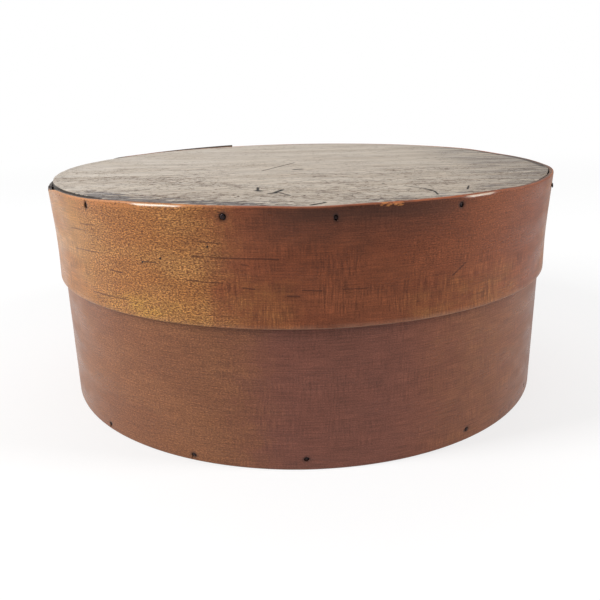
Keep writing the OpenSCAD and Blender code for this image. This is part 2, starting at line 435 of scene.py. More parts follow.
def worn_edges(turn, r_out, thickness, edges, rubbed, seed):
    """Rounding of the lower and upper outer edge at each turn, and how polished the upper one is.
    edges holds the two usual radii, which slow waves change by a fifth and a quarter. rubbed holds
    rows of (direction, half width, soft width, more rounding)."""
    low_edge = edges[0] * (0.8 + 0.4 * (1 + uneven(turn * r_out, low_edge_wave, seed)) / 2)
    high_edge = edges[1] * (0.75 + 0.5 * (1 + uneven(turn * r_out, high_edge_wave, seed + 1)) / 2)
    # Where the edge is polished, its colour is also painted pale as a glint.
    polish_and_glint = np.zeros_like(turn)
    for direction, half_width, soft, more in rubbed:
        share = near_turn(turn, direction, half_width, soft)
        polish_and_glint = np.maximum(polish_and_glint, share)
        high_edge = high_edge + more * share
    widest = (thickness - inner_edge) * 0.9
    return np.minimum(low_edge, widest), np.minimum(high_edge, widest), polish_and_glint


def rim_rise(turn, r_out, on_top, lap_up, drops):
    """How far the rim stands over its usual height. The lap's outer end rises by lap_up, and drops
    holds rows of (direction, half width, soft width, how much lower)."""
    over = lap_up * np.clip(1 - lap_share(turn, r_out), 0, 1) * on_top
    for direction, half_width, soft, deep in drops:
        over = over - deep * near_turn(turn, direction, half_width, soft)
    return over


def nick_depths(turn, r_out, notches):
    """Depth of the nicks in the rim at each turn, from rows of (direction, width along, depth)."""
    nick = np.zeros_like(turn)
    for direction, width, deep in notches:
        along = np.abs(np.angle(np.exp(1j * (turn - np.radians(direction))))) * r_out
        nick = np.maximum(nick, deep * (1 - rise(along, 0.3 * width, width)))
    return nick


print("a nick of 1 mm, at its middle: %.1f mm" % (nick_depths(np.zeros(1), lid_r, [(0, mm, mm)])[0] / mm))

# %% [markdown]
# ## Hollows in the wall
# The finished hoop sinks only inwards from the model's surface. Thin wood cups between the rim and
# the lower edge, no bend is quite even, and just before the lap the strip dips to meet the thin end
# that lies beside it. Each of the three is a depth for every point, and they add up with the dents.

# %% Rows up the face, and how far it sinks
row_step, fine_row_step, fine_row_reach = 1.7 * mm, 0.16 * mm, 2.0 * mm
slow_depth, slow_wave = 0.12 * mm, 90 * mm
dip_depth, dip_turn = 0.35 * mm, 0.1


def face_rows(low, high, brad_height):
    """Shares of the way up the outer face where its rows lie, crowded round the brads."""
    face = stations(low, high, row_step, fine_row_step, [brad_height], fine_row_reach)
    share = (face[1:-1] - low) / (high - low)
    return np.concatenate([[0.0], share[(share > 0.02) & (share < 0.98)]])


def hollows(turn, r_out, up_wall, hollow, seed):
    """The cupping is half a sine wave up the wall, with a flattened middle. The dip comes in the last
    tenth of a radian before the lap's outer end."""
    cupped = hollow * np.sin(np.pi * np.clip(up_wall, 0, 1) ** 0.8) ** 1.5
    slow = slow_depth * (1 + uneven(turn * r_out, slow_wave, seed)) / 2
    lap_edge = lap_start + full_turn
    dip = dip_depth * (lap_share(turn, r_out) > 1) * rise(turn, lap_edge - dip_turn, lap_edge)
    return cupped + (slow + dip)[:, None]


print("rows up the lid's face:", len(face_rows(lid_low, lid_rim, np.median(lid_brads[:, 1]))))

# %% [markdown]
# ## The strip's mesh and its masks
# The loops, one for each turn, are joined into a strip whose two ends are closed with flat faces.
# Its map runs along the strip and round its section, both in metres. We also store masks that the
# wood's finish needs: edges rubbed bare, a pale line painted along the lower edge as a highlight,
# spots on the rim where hands polished it, painted pale partly as a glint, the bare inside, and the
# rim's flat top, with dust on the lap and where it broke, darker at the left and painted shade at the
# right.

# %% Join the loops
def strip_mesh(name, turn, r, z, r_out, path_start):
    """Joins loops of radius and height into a strip. Up the map, each row lies as far from the first
    as the middle loop's own length says."""
    rows = r.shape[1]
    points = np.stack([r * np.cos(turn)[:, None], r * np.sin(turn)[:, None], z], -1).reshape(-1, 3)
    quads, column, row = grid_faces(len(turn), rows, close_rows=True)
    start_cap = np.arange(rows)[None, :]
    end_cap = (len(turn) - 1) * rows + start_cap[:, ::-1]
    middle = len(turn) // 2
    loop_r, loop_z = np.append(r[middle], r[middle, 0]), np.append(z[middle], z[middle, 0])
    path = path_start + np.concatenate([[0], np.cumsum(np.hypot(np.diff(loop_r), np.diff(loop_z)))])
    along = turn * r_out
    uv = np.concatenate([
        np.stack([along[column], path[row]], -1).reshape(-1, 2),
        np.stack([along[0] + r[0] - r[0].max(), z[0]], -1),
        np.stack([along[-1] + r[-1] - r[-1].min(), z[-1]], -1)[::-1]])
    return new_piece(name, points, [quads, np.concatenate([start_cap, end_cap])], uv)


# %% Masks of wear, and of painted highlight, glint and shade
# On the flat top the rim is darker at the left, and darkened as painted shade at the right.
wear_places = {"rubbed": (-84, 30, 14), "less_rubbed": (-93, 7, 14), "less_edge_highlight": (-118, 12, 8),
               "darker_top_left": (-152, 26, 18), "shaded_top_right": (-20, 30, 14), "broken": (176, 24, 6),
               "riser": (130, 22, 4)}
print("worn places:", ", ".join(sorted(wear_places)))


def wear_masks(turn, z, across, outside, low, high, top, high_edge, polish_and_glint, lap_up):
    """Masks by name. across runs from nought on the inner face to one on the outer face, top is the
    rim's height and high_edge the rounding at each turn."""
    on = shares_at(turn, wear_places)
    top_edge = 1 - rise((top - z) / high_edge, 0.35, 1.0)
    rubbed = 0.25 + 0.75 * on["rubbed"] * (1 - 0.5 * on["less_rubbed"])
    # Between these two heights a pale line is painted along the lower edge as a highlight.
    highlight_low_bound = rise(z, low + 0.1 * mm, low + 0.25 * mm)
    highlight_high_bound = 1 - rise(z, low + 0.4 * mm, low + 0.7 * mm)
    flat_top = rise(z, top - 0.25 * mm, top - 0.1 * mm) * (1 - rise(across, 0.55, 0.8))
    # The flat top is darker at the left, and darker at the right as painted shade.
    darkened_top = flat_top * (on["darker_top_left"] + 0.75 * on["shaded_top_right"])
    broken = on["broken"] * rise(z, top - 1.2 * mm, top - 0.6 * mm)
    riser = on["riser"] * rise(z, high + 0.05 * mm, high + 0.15 * mm)
    return {"worn": top_edge * (z > top - high_edge) * rubbed,
            "painted_edge_highlight": highlight_low_bound * highlight_high_bound * outside * (1 - 0.6 * on["less_edge_highlight"]),
            "polish_and_glint": polish_and_glint[:, None] * top_edge * outside,
            "bare": (1 - rise(across, 0.05, 0.5)) * (z < top - 0.1 * mm),
            "dust_and_shade": np.maximum.reduce([riser, broken, darkened_top]) * (lap_up > 0)}


# %% [markdown]
# ## Bending the two hoops
# With its parts in place, a hoop takes a few lines: find the turns, the section and the wear, let
# the wall sink, lean it outwards, cut the nicks, and join it up. The lid's hoop follows the
# photograph in where its rim is low, rubbed or nicked. The base's hoop is plain.

# %% Make a hoop
turn_step, fine_turn_step, fine_turn_reach = 2.4 * mm, 0.14 * mm, 1.2 * mm


def make_hoop(name, r_out, r_in, low, high, brads, shapes, edges, seed,
              lean=0.0, hollow=0.0, lap_up=0.0, rubbed=(), drops=(), notches=()):
    """A bent hoop. edges holds the rounding of the lower and upper outer edge, lean is how far its
    rim leans out, hollow the depth of the cupping, and lap_up the rise of the lap's outer end."""
    turn = strip_turns(r_out, brads[:, 0], turn_step, fine_turn_step, fine_turn_reach)
    on_top = lap_share(turn - full_turn, r_out) <= 0
    outer, inner = wall_faces(turn, r_out, r_in)
    low_edge, high_edge, polish_and_glint = worn_edges(turn, r_out, outer - inner, edges, rubbed, seed)
    over = rim_rise(turn, r_out, on_top, lap_up, drops)
    brad_height = np.median(brads[:, 1])
    face_share = face_rows(low, high, brad_height)
    r, z = section_loop(outer, inner, low, high + over, low_edge, high_edge, face_share)

    wall, top_layer, top = (outer - inner)[:, None], on_top[:, None], (high + over)[:, None]
    across = np.clip((r - inner[:, None]) / wall, 0, 1)
    outside = rise(across, 0.4, 0.95)
    up_wall = (z - low) / (high - low)
    brad_r = r_out + lean * (brad_height - low) / (high - low)
    depth, stain = dents(turn[:, None], z, brads, shapes, brad_r)
    depth = np.minimum(depth, 0.75 * wall) * top_layer
    sink = outside * (depth + hollows(turn, r_out, up_wall, hollow, seed + 2) * top_layer)
    r = r - np.minimum(sink, 0.8 * wall) + lean * up_wall
    at_rim = rise(z, top - 1.5 * mm, top - 0.2 * mm) * outside
    z = z - nick_depths(turn, r_out, notches)[:, None] * top_layer * at_rim

    hoop = strip_mesh(name, turn, r, z, r_out, low + edges[0])
    masks = wear_masks(turn, z, across, outside, low, high, top, high_edge[:, None], polish_and_glint, lap_up)
    masks["stain"] = stain * outside * top_layer
    masks["sunk"] = np.clip(depth / (0.5 * mm), 0, 1) * outside
    paint_all(hoop, masks, z.shape)
    return hoop, turn, z


# %% The lid's hoop and the base's
lid_edges, base_edges = (0.55 * mm, 0.7 * mm), (0.6 * mm, 0.4 * mm)
lid_hollow = 0.6 * mm
lid_drops = [(182, 20, 11, 2.3 * mm), (-152, 12, 28, 0.7 * mm), (-110, 12, 14, -0.6 * mm),
             (-66, 13, 12, -0.6 * mm), (9, 10, 17, 0.8 * mm)]
# At these two places the rim is rounder and polished, and its colour is painted pale, partly as worn wood and
# partly as a glint.
lid_rubbed = [(-115.4, 3.6, 3, 0.85 * mm), (-57.2, 2.2, 2.8, 0.85 * mm)]
lid_notches = [(-74.2, 1.0 * mm, 1.0 * mm), (-58, 0.6 * mm, 0.25 * mm), (-45, 0.9 * mm, 0.3 * mm)]
lid_hoop, lid_turn, lid_z = make_hoop(
    "lid_hoop_bent", lid_r, lid_in_r, lid_low, lid_rim, lid_brads, lid_dents, lid_edges, 3,
    lean=lid_lean, hollow=lid_hollow, lap_up=lap_rise,
    rubbed=lid_rubbed, drops=lid_drops, notches=lid_notches)
base_hoop, base_turn, base_z = make_hoop(
    "base_hoop_bent", base_r, base_in_r, 0.0, base_top, base_brads, base_dents, base_edges, 7)


def stand_for(piece, node, body):
    """Hides the node that a piece replaces, and hangs the piece on the body it rides on."""
    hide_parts(node)
    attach(piece, body)


stand_for(lid_hoop, "lid_hoop", "lid")
stand_for(base_hoop, "base_hoop", "base")

# %% [markdown]
# ## The golden side of the lid
# The left third of the lid's hoop is golden and full of dark flecks, where the stain has worn off or
# never took, and the rest has gone a deep reddish brown. The golden part reaches further to the
# right low down than it does higher up. It comes back weakly in a few other places, so that the back
# doesn't look painted. High up at the front the lid is darker, partly patina and partly painted shade,
# and a band just under the rim there is darkened further as painted shade. A few fine flecks lie on
# the right.

# %% Paint the lid's colours
def blended(under, over, share):
    """Goes from one mask to another by a share."""
    return under * (1 - share) + over * share


def strongest(*masks):
    """The largest of several masks at each point."""
    result = masks[0]
    for other in masks[1:]:
        result = np.maximum(result, other)
    return result


lid_places = {"gold_low": (-132, 24, 4), "gold_high": (-133, 18, 19), "gold_tail": (-103, 6, 12),
              "gold_right": (-58, 9, 12), "behind": (90, 110, 20), "yellow": (-120, 3, 9),
              "flecks": (-118, 12, 12), "flecks_right": (-54, 13, 12), "dusky": (-80, 12, 14),
              "patch": (-75.2, 1.8, 1.2), "left_rim": (-129, 9, 6), "grimy_and_shaded": (-79, 9, 13)}
on = shares_at(lid_turn, lid_places)
wander = rise(uneven(lid_turn * lid_r, 130 * mm, 24), 0.1, 0.6)[:, None]
golden = strongest(
    blended(on["gold_low"], on["gold_high"], rise(lid_z, 70 * mm, 84 * mm)),
    0.35 * on["gold_tail"] * (1 - rise(lid_z, 74 * mm, 88 * mm)),
    0.28 * on["gold_right"] * (1 - rise(lid_z, 68 * mm, 88 * mm)),
    0.45 * on["behind"] * wander)
paint_all(lid_hoop, {
    "golden": golden,
    "yellow": on["yellow"] * (1 - rise(lid_z, 65 * mm, 74 * mm)),
    "flecked": strongest(on["flecks"], 0.3 * on["behind"],
                         on["flecks_right"] * rise(lid_z, 74 * mm, 86 * mm)),
    # High up at the front the lid is darker, partly patina and partly painted shade.
    "dusky": on["dusky"] * rise(lid_z, 88 * mm, 101 * mm),
    # Just under the rim at the front the lid is darkened as painted shade.
    "grimy_and_shaded": on["grimy_and_shaded"] * rise(lid_z, lid_rim - 8 * mm, lid_rim - 2.5 * mm),
    "rubbed": strongest(on["patch"] * rise(lid_z, lid_rim - 1.4 * mm, lid_rim - 0.2 * mm),
                        on["left_rim"] * rise(lid_z, lid_rim - 3.4 * mm, lid_rim - 1.6 * mm))}, lid_z.shape)
print("golden share of the lid: %.2f" % (golden > 0.5).mean())

# %% Paint the base's colours
base_places = {"left": (-135, 22, 25), "right": (-38, 14, 24),
               "flecks": (-120, 14, 20), "dusky": (-86, 10, 14)}
on = shares_at(base_turn, base_places)
wander = rise(uneven(base_turn * base_r, 150 * mm, 25), 0.1, 0.7)[:, None]
paint_all(base_hoop, {
    "golden": strongest(on["left"], 0.5 * on["right"], 0.5 * wander),
    "flecked": 0.55 * on["flecks"],
    "dusky": on["dusky"],
    "yellow": 0.0, "grimy_and_shaded": 0.0, "rubbed": 0.0}, base_z.shape)

# %% [markdown]
# ## The boards
# A board is a flat disc turned on its edge profile: from the middle of the underside out to the
# edge, up, over a worn corner and back to the middle of the top. Old boards shrink and leave a dark
# gap beside the hoop at some places while the grime fills it at others, so the outline's radius
# changes with direction. A board settles a little too, and the lid's has dropped at the right.

# %% The outline and rows of a board
tight = 0.08 * mm
board_step, fine_board_step, fine_board_reach = 3.2 * mm, 1.2 * mm, 90 * mm
inward = np.array([0.006, 0.02, 0.05, 0.1, 0.16, 0.24, 0.32, 0.4, 0.48, 0.56, 0.64, 0.71, 0.77,
                   0.82, 0.86, 0.9, 0.93, 0.955, 0.975, 0.988])
corner_shares = np.array([0.0, 0.25, 0.6, 1.0])


def board_turns(radius):
    """Directions round a board, closer together at the front."""
    front = np.radians([270]) * radius
    whole = full_turn * radius
    return stations(0, whole, board_step, fine_board_step, front, fine_board_reach)[:-1] / radius


def board_edge(around, radius, gaps, seed):
    """Radius of a board's edge: the hoop's less a hair, or less a gap's size within its width, with a
    quarter of that again in small waves."""
    gap = np.full_like(around, tight)
    for direction, half_width, soft, size in gaps:
        gap = np.maximum(gap, size * near_turn(around, direction, half_width, soft))
    return radius - gap * (1 + 0.25 * uneven(around * radius, 12 * mm, seed))


def board_profile(edge, bevel, worn_edge, lean, low, high):
    """Radius and height of each row, for an edge and a bevel that are columns. The corner is a
    quarter circle, and rows are closer together near the edge."""
    foot = 0.3 * mm
    corner_turn = np.radians(90) * corner_shares
    side_r = edge - np.array([lean + foot, lean, 0.0])
    side_z = np.array([low, low + foot, high - 2 * worn_edge])
    round_r = edge - bevel * (1 - np.cos(corner_turn))
    round_z = high - bevel * (1 - np.sin(corner_turn))
    r = np.hstack([(edge - lean) * inward, side_r, round_r, round_r[:, -1:] * inward[::-1]])
    flat = np.ones((len(edge), len(inward)))
    z = np.hstack([low * flat, side_z * np.ones((len(edge), 1)), round_z, high * flat])
    return r, z


# %% Make a board
dirty_places = [(-116, 16, 12, 0.85), (-62, 14, 10, 0.25)]


def board_masks(around, r, z, radius, low, high, worn_edge, on_top):
    """Grime near the edge, most of it at the dirty places, the side, painted dark as shade, and the
    underside.
    """
    dirty = 0.15 + sum(share * near_turn(around, *place) for *place, share in dirty_places)[:, None]
    above = rise(z, high - 1.2 * worn_edge, high - 0.4 * worn_edge)
    return {"grime_and_shade": rise(r, radius - 18 * mm, radius - 3 * mm) * on_top * dirty,
            "side": (1 - above) * rise(r, radius - 3 * mm, radius - 2 * mm),
            "underside": z < low + 0.1 * mm}


def make_board(name, radius, low, high, gaps, worn_edge, seed, lean=0.0, sags=()):
    """A disc that fills a hoop of the given inside radius at its upper face, which leans outwards.
    gaps and sags hold rows of (direction, half width, soft width, amount): where the edge stands off
    the hoop, and where the top has dropped."""
    around = board_turns(radius)
    edge = board_edge(around, radius, gaps, seed)[:, None]
    bevel = worn_edge * (1 + 0.5 * uneven(around * radius, 18 * mm, seed + 1))[:, None]
    r, z = board_profile(edge, bevel, worn_edge, lean, low, high)
    x, y = r * np.cos(around)[:, None], r * np.sin(around)[:, None]
    on_top = z > (low + high) / 2
    settle = 0.12 * mm * (1 + uneven(y, 70 * mm, seed + 2)) / 2 * on_top
    for direction, half_width, soft, deep in sags:
        share = near_turn(around, direction, half_width, soft)[:, None]
        settle = settle + deep * share * (r / radius) ** 2 * on_top
    z = z - settle
    grid = np.stack([x, y, z], -1).reshape(-1, 3)
    ends = np.array([[0, 0, low], [0, 0, high - settle[0, -1]]])
    board = new_piece(name, np.vstack([grid, ends]), turned_faces(1, len(around), r.shape[1]))
    masks = board_masks(around, r, z, radius, low, high, worn_edge, on_top)
    for mask_name, values in masks.items():
        at_ends = [mask_name == "underside", 0]
        paint(board, mask_name, np.append(values.ravel(), at_ends))
    return board


# %% The lid's board and the base's
lid_gaps = [(-148, 14, 34, 0.9 * mm), (-28, 8, 6, 0.6 * mm), (150, 10, 10, 0.5 * mm)]
lid_sags = [(9, 10, 17, 0.8 * mm)]
base_gaps = [(70, 20, 20, 0.6 * mm), (-100, 15, 15, 0.5 * mm)]
board_lean = lid_lean * (lid_rim - lid_board_low) / (lid_rim - lid_low)
lid_board = make_board("lid_board_flat", lid_in_r + lid_lean, lid_board_low, lid_rim, lid_gaps, 0.35 * mm, 31,
                       lean=board_lean, sags=lid_sags)
base_board = make_board("base_board_flat", base_in_r, 0.0, base_board_top, base_gaps, 0.3 * mm, 41)
stand_for(lid_board, "lid_board", "lid")
stand_for(base_board, "base_board", "base")

# %% [markdown]
# ## Nails
# A brad and a tack are both a round bar carried along a path: a brad's path is straight, and a
# tack's turns a corner where its point was bent over against an iron and beaten into the wood. The
# bar's radius starts at nearly nought at the point, grows to the shank, spreads into the head and
# closes again at its crown. Hammered heads are lopsided, so each gets its own waves round its edge
# and its own small tilt.

# %% Carry a round bar along a path, for many nails at once
nail_columns = 20
most_tilt = 0.12
head_waves = 3


def make_nails(name, places, outward, upward, radius, head_from, lopsided, seed):
    """places are rows of direction, height and outermost radius. The path's points lie outward and
    upward of the nail's outermost middle, radius (nails, path points) is the bar's, and rings from
    head_from onwards take the waves and the tilt."""
    rng = np.random.default_rng(seed)
    count, rows = len(places), len(outward)
    step_out, step_up = np.gradient(outward), np.gradient(upward)
    length = np.hypot(step_out, step_up)
    across_out, across_up = -step_up / length, step_out / length
    psi = np.arange(nail_columns) * full_turn / nail_columns
    starts = rng.uniform(0, full_turn, (count, head_waves, 1))
    waves = sum(np.sin((k + 2) * psi + starts[:, k]) / (k + 1) for k in range(head_waves))
    head = (np.arange(rows) >= head_from)[None, None, :]
    bar = radius[:, None, :] * (1 + lopsided * waves[:, :, None] * head)
    side = bar * np.cos(psi)[None, :, None]
    over = bar * np.sin(psi)[None, :, None]
    out = outward + over * across_out
    lift = upward + over * across_up
    tilt = rng.uniform(-most_tilt, most_tilt, (count, 2, 1, 1))
    out = out + head * (tilt[:, 0] * side + tilt[:, 1] * over)
    direction, height, reach = (places[:, k][:, None, None] for k in range(3))
    r = reach + out
    x = r * np.cos(direction) - side * np.sin(direction)
    y = r * np.sin(direction) + side * np.cos(direction)
    grid = np.stack([x, y, height + lift], -1).reshape(count, -1, 3)
    end_out, end_up = outward[[0, -1]], upward[[0, -1]]
    end_r = places[:, 2:3] + end_out
    ends = np.stack([end_r * np.cos(places[:, :1]), end_r * np.sin(places[:, :1]),
                     places[:, 1:2] + end_up], -1)
    points = np.concatenate([grid, ends], 1).reshape(-1, 3)
    return new_piece(name, points, turned_faces(count, nail_columns, rows), sharp_deg=50)


# %% Brads
brad_path = np.array([-13, -12.5, -11, -2, -0.75, -0.6, -0.45, -0.3, -0.15, -0.06, -0.02, 0.0]) * mm
brad_bar = np.array([0.15, 0.3, 0.5, 0.55, 0.55, 0.7, 0.9, 1.0, 0.93, 0.7, 0.4, 0.12])
brad_head_from, brad_lopsided = 5, 0.07
head_share_of_dent = 0.88
shank_scale = 1 * mm


def make_brads(name, places, shapes, seed):
    """Brads whose heads fill most of their dents: a head's radius is a share of the root of the
    dent's half width times its half height."""
    head_radius = head_share_of_dent * np.sqrt(shapes[:, :1] * shapes[:, 1:2])
    in_head = np.arange(len(brad_path)) >= brad_head_from
    bar = brad_bar * np.where(in_head, head_radius, np.full_like(head_radius, shank_scale))
    level = np.zeros_like(brad_path)
    return make_nails(name, places, brad_path, level, bar, brad_head_from, brad_lopsided, seed)


lid_brad_iron = make_brads("lid_brads_iron", lid_brads, lid_dents, seed=51)
base_brad_iron = make_brads("base_brads_iron", base_brads, base_dents, seed=52)
stand_for(lid_brad_iron, "lid_brads", "lid")
stand_for(base_brad_iron, "base_brads", "base")

# %% [markdown]
# A tack's head is wide and thin, and stands a hair above the wood. Its path starts at the bent
# point inside the hoop, runs up the inner face, turns through a quarter circle and goes out through
# the wall.

# %% Tacks with points bent over inside
tack_point = 3.5 * mm
tack_proud = 0.12 * mm
point_proud = 0.05 * mm
point_radius = 0.35 * mm
bend_radius = 0.5 * mm
bend_angles = np.radians(np.linspace(0, 90, 5))[1:]
tack_out = [-0.5 * mm, -0.3 * mm, -0.12 * mm, -0.02 * mm, tack_proud * 0.8, tack_proud]
tack_bar = np.array([0.1, 0.25, 0.33, 0.35, 0.38, 0.45, 0.52, 0.58, 0.6, 0.7, 1.35, 1.5, 1.2, 0.5]) * mm
tack_head_from, tack_lopsided = 10, 0.05


def make_tacks(name, places, wall, seed):
    """Tacks whose bent points lie along the inner face of a wall of the given thickness. The path is
    a line, a quarter circle and a line."""
    inside = -wall + point_radius - point_proud
    run_up = np.linspace(-tack_point, -bend_radius, 4)
    bend_out = inside + bend_radius * (1 - np.cos(bend_angles))
    bend_up = -bend_radius + bend_radius * np.sin(bend_angles)
    outward = np.concatenate([np.full(4, inside), bend_out, tack_out])
    upward = np.concatenate([run_up, bend_up, np.zeros(6)])
    bar = tack_bar * np.ones((len(places), 1))
    return make_nails(name, places, outward, upward, bar, tack_head_from, tack_lopsided, seed)


lid_tack_iron = make_tacks("lid_lap_tacks_iron", lid_tacks, lid_r - lid_in_r, seed=61)
base_tack_iron = make_tacks("base_lap_tacks_iron", base_tacks, base_r - base_in_r, seed=62)
stand_for(lid_tack_iron, "lid_lap_tacks", "lid")
stand_for(base_tack_iron, "base_lap_tacks", "base")

# %% [markdown]
# ## Building a material from nodes
# Each finish below is a small graph of nodes. One helper adds a node, sets its options and fills its
# inputs, linking a socket and typing in a plain value. On top of it stand a few words that say what
# the wood needs: arithmetic, a range cut out of a noise, and a layer of another colour.

# %% Nodes, numbers and colours
white = (1, 1, 1, 1)


def add(tree, kind, inputs=(), **options):
    """Adds a node, sets its options, and fills its inputs from a dict of name or number to value."""
    made = tree.nodes.new("ShaderNode" + kind)
    for key, value in options.items():
        setattr(made, key, value)
    for key, value in dict(inputs).items():
        if isinstance(value, bpy.types.NodeSocket):
            tree.links.new(value, made.inputs[key])
        else:
            made.inputs[key].default_value = value
    return made


def reckon(tree, operation, *values):
    """Arithmetic on numbers."""
    return add(tree, "Math", dict(enumerate(values)), operation=operation).outputs[0]


def times(tree, first, second):
    return reckon(tree, "MULTIPLY", first, second)


def plus(tree, first, second):
    return reckon(tree, "ADD", first, second)


def larger(tree, first, second):
    return reckon(tree, "MAXIMUM", first, second)


def between(tree, value, low, high, start=0.0, stop=1.0):
    """Carries low to start and high to stop, with a smooth rise in the middle."""
    inputs = {"Value": value, "From Min": low, "From Max": high, "To Min": start, "To Max": stop}
    return add(tree, "MapRange", inputs, interpolation_type="SMOOTHSTEP").outputs[0]


# %% Layers of colour, and painted masks
def as_colour(value):
    """A socket as it is, or three numbers made opaque."""
    return value if isinstance(value, bpy.types.NodeSocket) else (*value, 1.0)


def layer(tree, under, over, share):
    """Puts a colour over another by a share."""
    return add(tree, "Mix", {0: share, 6: as_colour(under), 7: as_colour(over)}, data_type="RGBA").outputs[2]


def layer_number(tree, under, over, share):
    """Mixes two numbers by a share."""
    return add(tree, "Mix", {0: share, 2: under, 3: over}, data_type="FLOAT").outputs[0]


def shade(tree, under, value):
    """Multiplies a colour by a number."""
    return add(tree, "VectorMath", {0: under, "Scale": value}, operation="SCALE").outputs[0]


def mask(tree, name):
    """The number painted on the piece's points under a name."""
    return add(tree, "Attribute", attribute_name=name).outputs["Fac"]


# %% [markdown]
# ## Noises drawn out along the grain
# Nearly every mark on old wood is longer one way than the other. So each noise is written as a row:
# how long one streak is along the grain and across it, in millimetres, and a seed. Where the usual
# values don't do, it goes on with how many finer noises ride on it, how strong those are, and a
# wobble, which shifts the places a little, so that straight edges waver.

# %% Streaks and wobble
def flat_place(tree, place):
    """A place without its height."""
    return add(tree, "VectorMath", {0: place, 1: (1, 1, 0)}, operation="MULTIPLY").outputs[0]


def wobbled(tree, place, size_mm, amount_mm, seed):
    """Places shifted sideways by a noise of the given size, by up to half the amount each way."""
    inputs = {"Vector": place, "Location": (seed, 0, 0), "Scale": (1 / (size_mm * mm),) * 3}
    finer = add(tree, "Mapping", inputs).outputs[0]
    noise = add(tree, "TexNoise", {"Vector": finer, "Scale": 1.0, "Detail": 1.0}).outputs["Color"]
    centred = add(tree, "VectorMath", {0: noise, 1: (0.5, 0.5, 0.5)}, operation="SUBTRACT").outputs[0]
    moved = add(tree, "VectorMath", {0: centred, "Scale": amount_mm * mm}, operation="SCALE").outputs[0]
    return add(tree, "VectorMath", {0: place, 1: flat_place(tree, moved)}, operation="ADD").outputs[0]


def streaks(tree, place, along_mm, across_mm, seed, detail=2, roughness=0.5, wobble=None):
    """Noise drawn out along the first axis, from the sizes of one streak. wobble is (size, amount,
    seed), or nothing."""
    where = wobbled(tree, place, *wobble) if wobble else place
    stretch = (1 / (along_mm * mm), 1 / (across_mm * mm), 1 / (across_mm * mm))
    inputs = {"Vector": where, "Location": (seed, seed, seed), "Scale": stretch}
    stretched = add(tree, "Mapping", inputs).outputs[0]
    inputs = {"Vector": stretched, "Scale": 1.0, "Detail": detail, "Roughness": roughness}
    return add(tree, "TexNoise", inputs).outputs[0]


def noises_of(tree, place, rows):
    """A noise for each named row of numbers."""
    return {name: streaks(tree, place, *row) for name, row in rows.items()}


# %% [markdown]
# ## Single marks
# The clearest cracks and scratches lie where the photograph has them. A mark is a straight line with
# a width. The nearest point of the line is its start plus a share of its length, so a few vector
# nodes give the distance from it, and a narrow range of that distance is the mark.

# %% Cracks and scratches as lines
def scratch(tree, place, start, end, width):
    """One on the line from start to end, nought a width away. The nearest point of the line lies at
    start plus a share of the line, where the share is held between nought and one."""
    line_way = Vector((*end, 0)) - Vector((*start, 0))
    away = add(tree, "VectorMath", {0: place, 1: (*start, 0)}, operation="SUBTRACT").outputs[0]
    along = line_way / line_way.length_squared
    share = add(tree, "VectorMath", {0: away, 1: along}, operation="DOT_PRODUCT").outputs["Value"]
    share = add(tree, "Clamp", {0: share}).outputs[0]
    nearest = add(tree, "VectorMath", {0: line_way, "Scale": share}, operation="SCALE").outputs[0]
    gap = add(tree, "VectorMath", {0: away, 1: nearest}, operation="DISTANCE").outputs["Value"]
    return between(tree, gap, width * 0.3, width, 1.0, 0.0)


def scratches(tree, place, lines):
    """The strongest of several scratches, given as (start, end, width)."""
    strongest_mark = scratch(tree, place, *lines[0])
    for given in lines[1:]:
        strongest_mark = larger(tree, strongest_mark, scratch(tree, place, *given))
    return strongest_mark


# %% [markdown]
# ## From a graph to a finish
# Blender's Principled shader takes the colour, the roughness and a bump. The index of refraction is
# the same all over a finish, so it is typed into the shader's own socket.

# %% Begin and end a finish
varnish_ior, plain_ior = 1.45, 1.5


def new_finish(name, ior):
    """An empty material with its tree and its shader."""
    material = bpy.data.materials.new(name)
    material.use_nodes = True
    tree = material.node_tree
    shader = tree.nodes["Principled BSDF"]
    shader.inputs["IOR"].default_value = ior
    return material, tree, shader


def finish_with(tree, shader, tone, rough, height, bump_depth, bump_strength):
    """Links a colour and a roughness to the shader, and a height as a bump."""
    tree.links.new(tone, shader.inputs["Base Color"])
    tree.links.new(rough, shader.inputs["Roughness"])
    bump = add(tree, "Bump", {"Height": height, "Distance": bump_depth, "Strength": bump_strength})
    tree.links.new(bump.outputs[0], shader.inputs["Normal"])


def put_finish(piece, material):
    piece.data.materials.clear()
    piece.data.materials.append(material)
    print("%s wears %s" % (piece.name, material.name))


# %% [markdown]
# ## Bentwood under old varnish
# The bent strips show a fine long grain, crossed by faint upright marks where the strip was scraped.
# Tiny dark flecks, a millimetre long, lie along the grain and stand out most on the golden side, with
# brighter spots painted between them as glints.
# Over it lies a thin hard varnish, rubbed through along the rim. All of it is drawn on the strip's
# own map, in metres, so that it follows the bend.

# %% The noises of a hoop
hoop_noises = {
    "cloudy": (50, 20, 1, 3), "ragged": (12, 6, 2, 4, 0.6), "scrape": (0.7, 8, 6, 2, 0.5, (9, 1.2, 19)),
    "scrape_patch": (18, 14, 16, 3), "fleck": (1.1, 0.5, 3, 2, 0.6, (3, 0.5, 5)),
    "glint": (0.99, 0.5, 9, 2, 0.6), "hair": (12, 0.4, 4), "grain": (0.6, 0.5, 18, 2, 0.7),
    "blotch": (7, 5, 23, 4, 0.65, (6, 2.0, 22)), "break": (6, 2, 7), "mottle": (1.6, 0.8, 10, 3),
    "wear": (9, 3, 13, 3), "speck": (1.5, 1.0, 15), "raw": (60, 1.2, 12, 4), "polish": (25, 9, 14, 3)}
hoop_masks = ("golden", "yellow", "flecked", "dusky", "grimy_and_shaded", "rubbed", "worn", "painted_edge_highlight", "polish_and_glint",
              "stain", "sunk", "bare", "dust_and_shade")
print("noises and masks in a hoop's finish:", len(hoop_noises), len(hoop_masks))


# %% Stained wood and golden wood
dusk_share, shade_under_rim_share = 0.8, 0.6
torn_middle = 0.65


